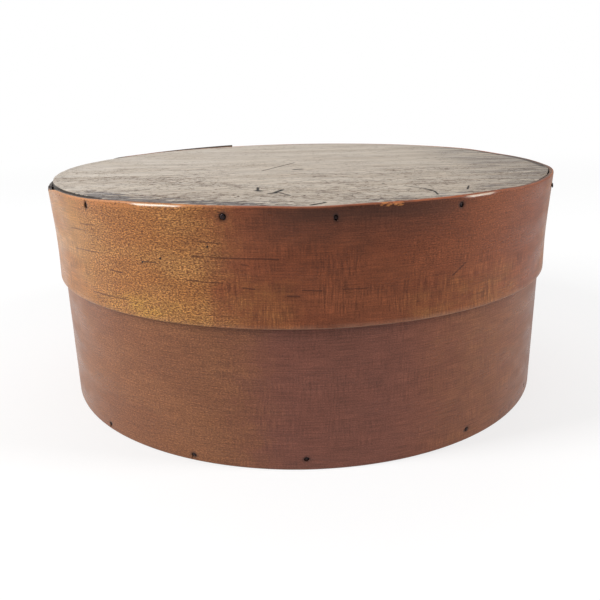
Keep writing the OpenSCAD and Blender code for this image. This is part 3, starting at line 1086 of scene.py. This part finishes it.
def stained_wood(tree, noise, painted, tones):
    """The wood's colour and how golden it is. The painted golden mask is torn by adding noise to it
    before its middle range is cut out."""
    cloudy, ragged = noise["cloudy"], noise["ragged"]
    wood = layer(tree, tones["stained"], tones["lighter"], between(tree, cloudy, 0.35, 0.65))
    # On the lid the front high up is darker, partly patina and partly painted shade.
    wood = layer(tree, wood, tones["dusk"], times(tree, painted["dusky"], dusk_share))
    # A band just under the lid's rim at the front is darkened here as painted shade.
    wood = layer(tree, wood, tones["grime_and_shade"], times(tree, painted["grimy_and_shaded"], shade_under_rim_share))
    torn = plus(tree, times(tree, ragged, 0.8), times(tree, noise["scrape"], 0.5))
    torn = plus(tree, painted["golden"], reckon(tree, "SUBTRACT", torn, torn_middle))
    gold = times(tree, between(tree, torn, 0.0, 0.95), between(tree, painted["golden"], 0, 0.25))
    honey = layer(tree, tones["golden"], tones["honey"], between(tree, cloudy, 0.4, 0.6))
    yellow = times(tree, painted["yellow"], between(tree, ragged, 0.35, 0.6))
    honey = layer(tree, honey, tones["yellow"], yellow)
    wood = layer(tree, wood, honey, gold)
    return shade(tree, wood, between(tree, ragged, 0.3, 0.7, 0.96, 1.04)), gold


# %% Flecks
def flecked_wood(tree, noise, painted, tones, wood, gold):
    """Dark flecks with brighter spots between them, which are painted glints, and how speckled each place is:
    twice as much on golden wood as on stained wood."""
    speckled = times(tree, painted["flecked"], between(tree, gold, 0, 0.8, 0.5, 1.0))
    bright = between(tree, noise["glint"], 0.42, 0.62, 0.85, 1.65)
    wood = shade(tree, wood, layer_number(tree, 1.0, bright, speckled))
    strength = between(tree, speckled, 0, 1, 0.1, 0.85)
    fleck = times(tree, between(tree, noise["fleck"], 0.49, 0.59), strength)
    return layer(tree, wood, tones["fleck"], fleck), speckled


# %% [markdown]
# ## Grain, clouds and scrapes
# These three only lighten and darken the wood, so each is a number that multiplies its colour. The
# upright scrapes come in patches, keep clear of the flecked wood, and are weaker near the rim.

# %% Grain and scrapes
faint_from, faint_to = 84 * mm, 98 * mm


def grained_wood(tree, noise, place, wood, speckled, scraped):
    """The shaded wood and its long hairs. scraped is how strong scrapes and clouds are, up to one."""
    hairs = between(tree, noise["hair"], 0.3, 0.7, 0.8, 1.16)
    wood = shade(tree, wood, hairs)
    wood = shade(tree, wood, between(tree, noise["grain"], 0.3, 0.7, 0.76, 1.24))
    clouding = 0.11 * scraped
    cloud = between(tree, noise["blotch"], 0.32, 0.68, 1 - clouding, 1 + clouding)
    wood = shade(tree, wood, layer_number(tree, cloud, 1.0, between(tree, speckled, 0.0, 0.6)))
    up_strip = add(tree, "SeparateXYZ", {0: place}).outputs["Y"]
    patch = between(tree, noise["scrape_patch"], 0.42, 0.58, 0.2, 1.0)
    patch = times(tree, patch, between(tree, speckled, 0.2, 0.9, scraped, 0.15 * scraped))
    patch = times(tree, patch, between(tree, up_strip, faint_from, faint_to, 1.0, 0.4))
    scrape = between(tree, noise["scrape"], 0.3, 0.7, 0.68, 1.28)
    return shade(tree, wood, layer_number(tree, 1.0, scrape, patch)), hairs


# %% Cracks
crack_wobble = (5, 0.5, 8)
crack_share = 0.75


def cracked_wood(tree, noise, place, tones, wood, cracks, pinholes):
    """Short cracks along the grain that waver and break off, and a few pinholes."""
    crack = scratches(tree, wobbled(tree, place, *crack_wobble), cracks)
    crack = times(tree, crack, between(tree, noise["break"], 0.28, 0.42, 0.25, 1.0))
    wood = layer(tree, wood, tones["crack"], times(tree, crack, crack_share))
    if pinholes:
        wood = layer(tree, wood, tones["pinhole"], scratches(tree, place, pinholes))
    return wood, crack


# %% [markdown]
# ## Wear, painted highlights, and the bare inside
# Wear goes on in the order in which it happened: rubbed spots, the edges worn through the varnish
# and flecked with dirt, a pale line painted along the lower edge as a highlight, the two spots on the
# rim that hands have polished until they shine, painted pale there partly as worn wood and partly as
# a glint, and the black that iron leaves round a nail. The inside never had any varnish, so it covers
# all that. Last the rim's flat top is darkened: by dust on the lap and where the rim broke, darker at
# the left, and as painted shade at the right.

# %% Wear, and painted highlight, glint and shade, on the wood
speck_share, pale_wear_and_glint_share, stain_share = 0.8, 0.9, 0.5


def worn_wood(tree, noise, painted, tones, wood, gold):
    """Each kind of wear is a colour, laid over the wood by its mask times a range of noise. So are the
    pale line along the lower edge, which is a painted highlight, and the polished spots, painted pale
    partly as worn wood and partly as a glint.
    """
    rubbed, worn, wear = painted["rubbed"], painted["worn"], noise["wear"]
    spots = between(tree, plus(tree, times(tree, rubbed, 0.2), noise["mottle"]), 0.6, 0.72)
    wood = layer(tree, wood, tones["rubbed"], times(tree, spots, between(tree, rubbed, 0.0, 0.5)))
    edge_tone = layer(tree, tones["worn"], tones["rubbed"], gold)
    wood = layer(tree, wood, edge_tone, times(tree, worn, between(tree, wear, 0.3, 0.6, 0.35, 1.0)))
    specks = times(tree, times(tree, between(tree, noise["speck"], 0.62, 0.7), worn), speck_share)
    wood = layer(tree, wood, tones["speck"], specks)
    # The pale line along the lower edge is a painted highlight.
    painted_edge_highlight = times(tree, painted["painted_edge_highlight"], between(tree, wear, 0.3, 0.6, 0.15, 0.55))
    wood = layer(tree, wood, tones["painted_edge_highlight"], painted_edge_highlight)
    # The polished spots are painted pale, partly as worn wood and partly as a glint.
    pale_wear_and_glint = times(tree, between(tree, painted["polish_and_glint"], 0.3, 0.9), pale_wear_and_glint_share)
    wood = layer(tree, wood, tones["pale_wear_and_glint"], pale_wear_and_glint)
    wood = layer(tree, wood, tones["stain"], times(tree, painted["stain"], stain_share))
    return layer(tree, wood, tones["sunk"], painted["sunk"])


def bare_wood(tree, noise, painted, tones, wood):
    """Puts bare wood on the inside, and darkens the rim's flat top with dust and with painted shade."""
    raw = layer(tree, tones["raw"], tones["raw_dark"], between(tree, noise["raw"], 0.35, 0.65))
    raw = shade(tree, raw, between(tree, noise["fleck"], 0.5, 0.65, 1.0, 0.88))
    wood = layer(tree, wood, raw, painted["bare"])
    # The rim's flat top is darkened by dust on the lap and where it broke, darker at the left, and darker at
    # the right as painted shade.
    return layer(tree, wood, tones["dust_and_shade_tone"], painted["dust_and_shade"])


# %% Gloss and height of a hoop
hoop_bump_depth, hoop_bump_strength = 0.3 * mm, 0.6
worn_rough, polished_rough, bare_rough = 0.8, 0.06, 0.7


def hoop_roughness(tree, noise, painted):
    """Satin varnish, with dull worn edges, glossy polished spots and dry bare wood."""
    rough = between(tree, noise["polish"], 0.35, 0.65, 0.27, 0.38)
    rough = layer_number(tree, rough, worn_rough, painted["worn"])
    rough = layer_number(tree, rough, polished_rough, painted["polish_and_glint"])
    return layer_number(tree, rough, bare_rough, larger(tree, painted["bare"], painted["dust_and_shade"]))


def hoop_height(tree, noise, painted, hairs, crack):
    """Flecks, hairs and scrapes stand up a little, cracks lie deeper, and polished spots are flat."""
    height = plus(tree, times(tree, noise["fleck"], 0.03), times(tree, hairs, 0.1))
    height = plus(tree, height, times(tree, noise["scrape"], 0.03))
    height = reckon(tree, "SUBTRACT", height, times(tree, crack, 0.15))
    return layer_number(tree, height, 0.0, painted["polish_and_glint"])


# %% All of a hoop's finish together
def hoop_finish(name, tones, scraped, cracks, pinholes=()):
    """tones holds linear colours by name. cracks and pinholes are scratches on the strip's map."""
    material, tree, shader = new_finish(name, varnish_ior)
    place = add(tree, "UVMap", uv_map="strip").outputs[0]
    noise = noises_of(tree, place, hoop_noises)
    painted = {key: mask(tree, key) for key in hoop_masks}
    wood, gold = stained_wood(tree, noise, painted, tones)
    wood, speckled = flecked_wood(tree, noise, painted, tones, wood, gold)
    wood, hairs = grained_wood(tree, noise, place, wood, speckled, scraped)
    wood, crack = cracked_wood(tree, noise, place, tones, wood, cracks, pinholes)
    wood = worn_wood(tree, noise, painted, tones, wood, gold)
    wood = bare_wood(tree, noise, painted, tones, wood)
    rough = hoop_roughness(tree, noise, painted)
    height = hoop_height(tree, noise, painted, hairs, crack)
    finish_with(tree, shader, wood, rough, height, hoop_bump_depth, hoop_bump_strength)
    return material


# %% [markdown]
# The marks themselves are rows of a direction round the box and a height for each end, and a width.
# The ones at the front lie where the photograph shows them, and a few more keep the back from
# looking new. A pinhole is a scratch that is hardly longer than it is wide.

# %% Marks on the strips
def on_strip(direction_deg, height_mm, r_out):
    """The place on a strip's map of a direction round the box and a height."""
    turn = (np.radians(direction_deg) - lap_start) % full_turn + lap_start
    return turn * r_out, height_mm * mm


def strip_lines(rows, r_out):
    """Scratches from rows of (direction, height, direction, height, width)."""
    return [(on_strip(a, b, r_out), on_strip(c, d, r_out), width * mm) for a, b, c, d, width in rows]


lid_cracks = strip_lines([
    (-109.3, 88.5, -94.0, 88.2, 0.4), (-110.5, 79.0, -103.8, 78.6, 0.35), (-100.2, 77.1, -98.2, 76.7, 0.4),
    (-107.8, 94.1, -103.5, 93.7, 0.3), (-134.6, 66.9, -124.0, 67.5, 0.4), (-136.5, 96.4, -131.2, 96.8, 0.3),
    (-140.8, 93.2, -134.4, 93.7, 0.25), (-140.2, 84.4, -131.7, 85.3, 0.3), (-128.4, 78.7, -124.9, 78.5, 0.4),
    (-90.1, 76.5, -86.9, 76.2, 0.4), (-92.7, 74.3, -90.6, 74.1, 0.4), (-83.3, 76.2, -79.2, 76.0, 0.25),
    (-100.3, 86.2, -99.1, 85.7, 0.3), (-62.4, 77.0, -61.3, 78.7, 0.6), (-61.0, 79.2, -59.7, 81.3, 0.6),
    (12, 85, 24, 85.6, 0.4), (95, 78, 108, 78.4, 0.4), (160, 90, 175, 90.6, 0.4)], lid_r)
lid_pinholes = strip_lines([
    (-119.5, 84.5, -119.5, 84.9, 0.55), (-115.5, 87.0, -115.4, 87.1, 0.65),
    (-106.1, 92.4, -106.0, 92.5, 0.6), (-119.4, 84.9, -116.5, 85.3, 0.25)], lid_r)
base_cracks = strip_lines([(20, 40, 32, 40.5, 0.4), (120, 35, 131, 35.2, 0.4)], base_r)
print("cracks in lid and base:", len(lid_cracks), len(base_cracks))

# %% [markdown]
# Last come the tones, as linear colours. Dirt, dust, cracks and bare wood look alike on both hoops.
# The lid's stain is a warmer red than the base's, and its golden side is much brighter.

# %% The tones of the two hoops
shared_tones = {
    # The first tone here, of grime, also darkens the band just under the lid's rim at the front, as painted
    # shade.
    "grime_and_shade": (0.07, 0.03, 0.02), "crack": (0.085, 0.022, 0.010), "pinhole": (0.012, 0.006, 0.006),
    # The glossy tone paints the polished spots pale, partly as worn wood and partly as a glint.
    "speck": (0.06, 0.022, 0.015), "pale_wear_and_glint": (0.8, 0.62, 0.45), "stain": (0.02, 0.011, 0.01),
    # The dust tone also darkens the rim's flat top at the right, as painted shade.
    "sunk": (0.008, 0.005, 0.005), "dust_and_shade_tone": (0.07, 0.055, 0.045),
    "raw": (0.42, 0.26, 0.15), "raw_dark": (0.30, 0.17, 0.09)}
lid_tones = {
    "stained": (0.285, 0.076, 0.029), "lighter": (0.33, 0.094, 0.036), "dusk": (0.20, 0.060, 0.030),
    "golden": (0.45, 0.18, 0.050), "honey": (0.51, 0.235, 0.072), "yellow": (0.56, 0.28, 0.065),
    "fleck": (0.17, 0.052, 0.018), "worn": (0.35, 0.090, 0.030), "rubbed": (0.60, 0.23, 0.070),
    # The pale tone along the lower edge is a painted highlight.
    "painted_edge_highlight": (0.60, 0.35, 0.24)}
base_tones = {
    "stained": (0.275, 0.093, 0.052), "lighter": (0.315, 0.108, 0.06), "dusk": (0.285, 0.100, 0.068),
    "golden": (0.29, 0.112, 0.050), "honey": (0.325, 0.13, 0.056), "yellow": (0.36, 0.15, 0.06),
    "fleck": (0.19, 0.065, 0.034), "worn": (0.26, 0.10, 0.055), "rubbed": (0.34, 0.15, 0.07),
    # The pale tone along the lower edge is a painted highlight.
    "painted_edge_highlight": (0.32, 0.14, 0.09)}
lid_scraped, base_scraped = 1.0, 0.5
put_finish(lid_hoop, hoop_finish("lid_hoop_varnish", {**shared_tones, **lid_tones}, lid_scraped,
                                 lid_cracks, lid_pinholes))
put_finish(base_hoop, hoop_finish("base_hoop_varnish", {**shared_tones, **base_tones}, base_scraped,
                                  base_cracks))

# %% [markdown]
# ## The boards' dry, scratched top
# A board is flat-sawn wood with its grain running from left to right. Its finish has crazed into
# fine dark checks and short dashes along the grain, dirt has gathered in dashes near the front left
# edge, and it has been scratched by use. Its underside stayed clean. A disc needs no map: object
# coordinates are metres from the middle of the box, and the board's grain lies along the first.

# %% The noises of a board
sway = (35, 4, 2)
board_noises = {
    "figure": (70, 10, 1, 4, 0.5, sway), "fine": (12, 1.2, 3, 3, 0.6, sway),
    "end": (26, 4, 11, 4, 0.65, sway), "patchy": (40, 15, 6), "check": (6, 0.9, 5, 3, 0.65, (12, 1.0, 4)),
    "hair": (9, 2.6, 15, 1, 0.5, (10, 1.5, 14)), "hair_break": (7, 4, 17),
    "dash": (2.6, 1.2, 20, 1, 0.5, (10, 1.2, 21)), "grime_and_shade": (8, 1.8, 7, 4), "gloss": (40, 8, 9, 3)}
print("noises in a board's finish:", len(board_noises))


# %% Checks, dirt and scratches
smooth_from, rough_from = 30 * mm, -60 * mm
dark_from, dark_to = 55 * mm, 105 * mm
scratch_wobble = (4, 0.6, 8)


def crazing(tree, noise, opened):
    """Where the finish has crazed: checks along the grain, and hairlines where a noise passes one
    half. opened lets more of both through."""
    check = between(tree, plus(tree, noise["check"], opened), 0.655, 0.68)
    off_half = reckon(tree, "ABSOLUTE", reckon(tree, "SUBTRACT", noise["hair"], 0.5))
    broken = between(tree, plus(tree, noise["hair_break"], opened), 0.5, 0.58)
    hair = times(tree, between(tree, off_half, 0.004, 0.018, 1.0, 0.0), broken)
    return larger(tree, check, times(tree, hair, 0.8))


def dirty_share(tree, noise, right_way, weathered):
    """Dirt in dashes, denser where more was painted near the edge, and dark patches at the right."""
    grimy_and_shaded = mask(tree, "grime_and_shade")
    gathered = plus(tree, noise["grime_and_shade"], times(tree, grimy_and_shaded, 0.25))
    edge_dirt = times(tree, between(tree, gathered, 0.60, 0.68), between(tree, grimy_and_shaded, 0.0, 0.3))
    at_right = between(tree, right_way, dark_from, dark_to)
    patches = times(tree, at_right, between(tree, noise["end"], 0.4, 0.56))
    return edge_dirt, times(tree, patches, weathered)


# %% The finish of a board
board_bump_depth, board_bump_strength = 0.5 * mm, 0.7
check_share = 0.6


def board_finish(name, tones, roughened, weathered=0.0, lines=()):
    """roughened is how many more checks the half towards the front has, weathered how dark the right
    end is, and lines are scratches on the top."""
    material, tree, shader = new_finish(name, plain_ior)
    place = add(tree, "TexCoord").outputs["Object"]
    apart = add(tree, "SeparateXYZ", {0: place}).outputs
    noise = noises_of(tree, place, board_noises)
    figure, fine, side = noise["figure"], noise["fine"], mask(tree, "side")

    wood = layer(tree, tones["light"], tones["dark"], between(tree, figure, 0.3, 0.7))
    wood = shade(tree, wood, between(tree, fine, 0.3, 0.7, 0.86, 1.12))
    to_front = between(tree, apart["Y"], smooth_from, rough_from, 0.0, roughened)
    wood = shade(tree, wood, between(tree, plus(tree, fine, to_front), 0.55, 0.7, 1.0, 1.2))
    opened = plus(tree, between(tree, noise["patchy"], 0.35, 0.65, -0.05, 0.04), to_front)
    check = crazing(tree, noise, opened)
    wood = layer(tree, wood, tones["check"], times(tree, check, check_share))
    dash = between(tree, plus(tree, noise["dash"], opened), 0.74, 0.755)
    wood = layer(tree, wood, tones["check"], dash)
    check = larger(tree, check, dash)
    for dirt in dirty_share(tree, noise, apart["X"], weathered):
        wood = layer(tree, wood, tones["grime_and_shade"], dirt)
    height = reckon(tree, "SUBTRACT", times(tree, fine, 0.35), times(tree, check, 0.5))
    if lines:
        mark = scratches(tree, flat_place(tree, wobbled(tree, place, *scratch_wobble)), lines)
        wood = layer(tree, wood, tones["scratch"], mark)
        check = larger(tree, check, mark)

    clean = layer(tree, tones["underside"], tones["grime_and_shade"], between(tree, fine, 0.3, 0.7, 0.3, 0.0))
    clean = shade(tree, clean, between(tree, figure, 0.3, 0.7, 0.85, 1.1))
    wood = layer(tree, wood, clean, mask(tree, "underside"))
    # The board's side is painted dark as shade.
    wood = layer(tree, wood, tones["side"], side)
    rough = plus(tree, between(tree, noise["gloss"], 0.35, 0.65, 0.36, 0.48), times(tree, check, 0.5))
    rough = plus(tree, rough, times(tree, side, 0.3))
    finish_with(tree, shader, wood, rough, height, board_bump_depth, board_bump_strength)
    return material


# %% Scratches and tones of the two boards
top_rows = [
    (-18.0, -76, -17.7, -84, 0.9), (-17.8, -84.5, -16.6, -85.5, 2.2), (-10.8, -91.5, -7.6, -83.5, 1.5),
    (-12.6, -92.3, -10.0, -91.5, 1.4), (-8.8, -90.5, -4.3, -98, 0.7), (-2.5, -17.3, 0.5, -16.5, 2.0),
    (-18.8, -20.1, -2.8, 11.8, 0.7), (3.5, -120, 8.5, -116, 1.4), (43.3, -79.7, 50, -88, 0.7),
    (50, -88, 52.4, -94.5, 0.9), (52.4, -94.5, 52.3, -102.8, 0.7), (66, -92, 69, -83, 0.6),
    (35, -72.8, 35.2, -72.4, 1.0), (19.8, -71.9, 20.1, -71.9, 0.9), (-72, -78, -64, -75, 0.8)]
top_scratches = [((a * mm, b * mm), (c * mm, d * mm), width * mm) for a, b, c, d, width in top_rows]
# Each board's side tone is painted shade, nearly black on the lid's board.
lid_board_tones = {
    "light": (0.46, 0.385, 0.30), "dark": (0.37, 0.295, 0.22), "check": (0.075, 0.040, 0.027),
    "grime_and_shade": (0.06, 0.038, 0.028), "scratch": (0.012, 0.009, 0.008), "side": (0.05, 0.04, 0.033),
    "underside": (0.34, 0.225, 0.135)}
base_board_tones = {
    "light": (0.42, 0.29, 0.18), "dark": (0.29, 0.18, 0.105), "check": (0.10, 0.06, 0.04),
    "grime_and_shade": (0.13, 0.08, 0.055), "side": (0.2, 0.13, 0.08), "underside": (0.27, 0.185, 0.12)}
lid_roughened, base_roughened = 0.08, 0.02
lid_weathered = 0.7
put_finish(lid_board, board_finish("lid_board_weathered", lid_board_tones, lid_roughened, lid_weathered,
                                   top_scratches))
put_finish(base_board, board_finish("base_board_bare", base_board_tones, base_roughened))

# %% [markdown]
# ## Old iron
# The nails are hand-cut iron. Their heads have gone a dark purplish brown, almost black, with a few
# brighter specks where rubbing has polished them.

# %% The finish of the nails
iron_blotch_mm = 0.7
iron_metallic, iron_dull = 0.75, 0.65
iron_bump_depth, iron_bump_strength = 0.15 * mm, 0.6


def iron_finish(name, dark, rust, gleam):
    """Dark iron with rust in blotches. gleam is the roughness where it was rubbed."""
    material, tree, shader = new_finish(name, plain_ior)
    place = add(tree, "TexCoord").outputs["Object"]
    blotch = streaks(tree, place, iron_blotch_mm, iron_blotch_mm, 3, detail=3)
    metal = layer(tree, dark, rust, between(tree, blotch, 0.45, 0.7))
    rough = between(tree, blotch, 0.35, 0.65, gleam, iron_dull)
    shader.inputs["Metallic"].default_value = iron_metallic
    finish_with(tree, shader, metal, rough, blotch, iron_bump_depth, iron_bump_strength)
    return material


brad_iron = iron_finish("brad_black_iron", (0.035, 0.026, 0.03), (0.09, 0.045, 0.035), 0.28)
tack_iron = iron_finish("tack_brown_iron", (0.05, 0.035, 0.03), (0.14, 0.07, 0.045), 0.32)
for nails in (lid_brad_iron, base_brad_iron):
    put_finish(nails, brad_iron)
for nails in (lid_tack_iron, base_tack_iron):
    put_finish(nails, tack_iron)

# %% [markdown]
# ## Floor and light
# The box stands on a pale floor that runs out to nothing. The camera sees a white floor and keeps
# only the box's own soft shadow. Three wide, distant lamps stand for the studio's windows: one to the
# left, one to the right and a weak one from behind. A mirror-like surface sees a white room, but a
# dimmer one on the photographer's side and on the right.

# %% A floor plane
floor_half = 30.0
floor_mesh = bpy.data.meshes.new("floor")
floor_corners = [(-floor_half, -floor_half, 0), (floor_half, -floor_half, 0),
                 (floor_half, floor_half, 0), (-floor_half, floor_half, 0)]
floor_mesh.from_pydata(floor_corners, [], [(0, 1, 2, 3)])
floor = bpy.data.objects.new("floor", floor_mesh)
floor.location.z = -0.01 * mm
bpy.context.scene.collection.objects.link(floor)

# %% [markdown]
# The floor's paint is two things at once. To light it is a plain matte grey, which catches the
# shadow. To the camera it also glows a little, so that it comes out white, and a shiny surface that
# mirrors it sees that glow too. Far out the glow takes over completely.

# %% Paint of the floor
photographer_side = 0.2
left_side, right_side = 1.2, 0.38
floor_tone, floor_lift, floor_left = 0.38, 0.65, 0.8
fade_from, fade_to = 0.45, 1.2
floor_paint = bpy.data.materials.new("pale_floor")
floor_paint.use_nodes = True
tree = floor_paint.node_tree
tree.nodes.clear()
rays = add(tree, "LightPath").outputs
shiny = larger(tree, rays["Is Glossy Ray"], rays["Is Transmission Ray"])
floor_place = add(tree, "TexCoord").outputs["Object"]
floor_apart = add(tree, "SeparateXYZ", {0: floor_place}).outputs
mirrored = between(tree, floor_apart["Y"], -0.5, 0.1, photographer_side, 1.0)
mirrored = times(tree, mirrored, between(tree, floor_apart["X"], -0.2, 0.4, floor_left, right_side))
seen = larger(tree, rays["Is Camera Ray"], times(tree, shiny, mirrored))
matte = add(tree, "BsdfDiffuse", {"Color": (floor_tone, floor_tone, floor_tone, 1)}).outputs[0]
glow = add(tree, "Emission", {"Color": white, "Strength": times(tree, seen, floor_lift)}).outputs[0]
near_floor = add(tree, "AddShader", {0: matte, 1: glow}).outputs[0]
beyond = add(tree, "Emission", {"Color": white, "Strength": seen}).outputs[0]
distance = add(tree, "VectorMath", {0: floor_place}, operation="LENGTH").outputs["Value"]
far = times(tree, between(tree, distance, fade_from, fade_to), reckon(tree, "GREATER_THAN", seen, 0.0))
whole = add(tree, "MixShader", {0: far, 1: near_floor, 2: beyond}).outputs[0]
tree.links.new(whole, add(tree, "OutputMaterial").inputs["Surface"])
floor.data.materials.append(floor_paint)
print("floor tone %.2f, glow %.2f" % (floor_tone, floor_lift))

# %% Lamps
window_distance = 1.6


def window(name, azimuth_deg, height_deg, width, tall, light_level):
    """A flat lamp that faces the box from a direction. Its power is such that a card held square to
    it at the box is lit at the given level, where one makes white paper just white."""
    lamp = bpy.data.lights.new(name, "AREA")
    lamp.shape = "RECTANGLE"
    lamp.size = width
    lamp.size_y = tall
    lamp.energy = light_level * np.pi ** 2 * window_distance ** 2
    holder = bpy.data.objects.new(name, lamp)
    azimuth, height = np.radians(azimuth_deg), np.radians(height_deg)
    towards = Vector((np.cos(azimuth) * np.cos(height), np.sin(azimuth) * np.cos(height), np.sin(height)))
    level_side = Vector((0, 0, 1)).cross(towards).normalized()
    turned = Matrix((level_side, towards.cross(level_side), towards)).transposed().to_4x4()
    holder.matrix_world = Matrix.Translation(towards * window_distance) @ turned
    bpy.context.scene.collection.objects.link(holder)
    print("%s: %.2f of full light" % (name, light_level))


window("left_window", azimuth_deg=-162, height_deg=33, width=0.4, tall=1.1, light_level=0.75)
window("right_window", azimuth_deg=-12, height_deg=30, width=0.36, tall=1.1, light_level=0.51)
window("back_window", azimuth_deg=95, height_deg=60, width=1.4, tall=1.0, light_level=0.16)

# %% [markdown]
# The room itself is a plain world light. The camera sees it white, a shiny surface sees it bright
# on the left and behind and dim elsewhere, and everything else is lit by it evenly and weakly.

# %% Room
room_light = 0.3
world = bpy.data.worlds.new("pale_room")
bpy.context.scene.world = world
world.use_nodes = True
tree = world.node_tree
tree.nodes.clear()
rays = add(tree, "LightPath").outputs
direction = add(tree, "TexCoord").outputs["Generated"]
room_apart = add(tree, "SeparateXYZ", {0: direction}).outputs
mirrored = between(tree, room_apart["Y"], -0.9, 0.0, photographer_side, 1.0)
mirrored = times(tree, mirrored, between(tree, room_apart["X"], -0.5, 0.7, left_side, right_side))
shiny = larger(tree, rays["Is Glossy Ray"], rays["Is Transmission Ray"])
strength = layer_number(tree, room_light, mirrored, shiny)
strength = layer_number(tree, strength, 1.0, rays["Is Camera Ray"])
room = add(tree, "Background", {"Color": white, "Strength": strength}).outputs[0]
tree.links.new(room, add(tree, "OutputWorld").inputs["Surface"])
bpy.context.scene.view_settings.view_transform = "Standard"
print("room light %.2f" % room_light)
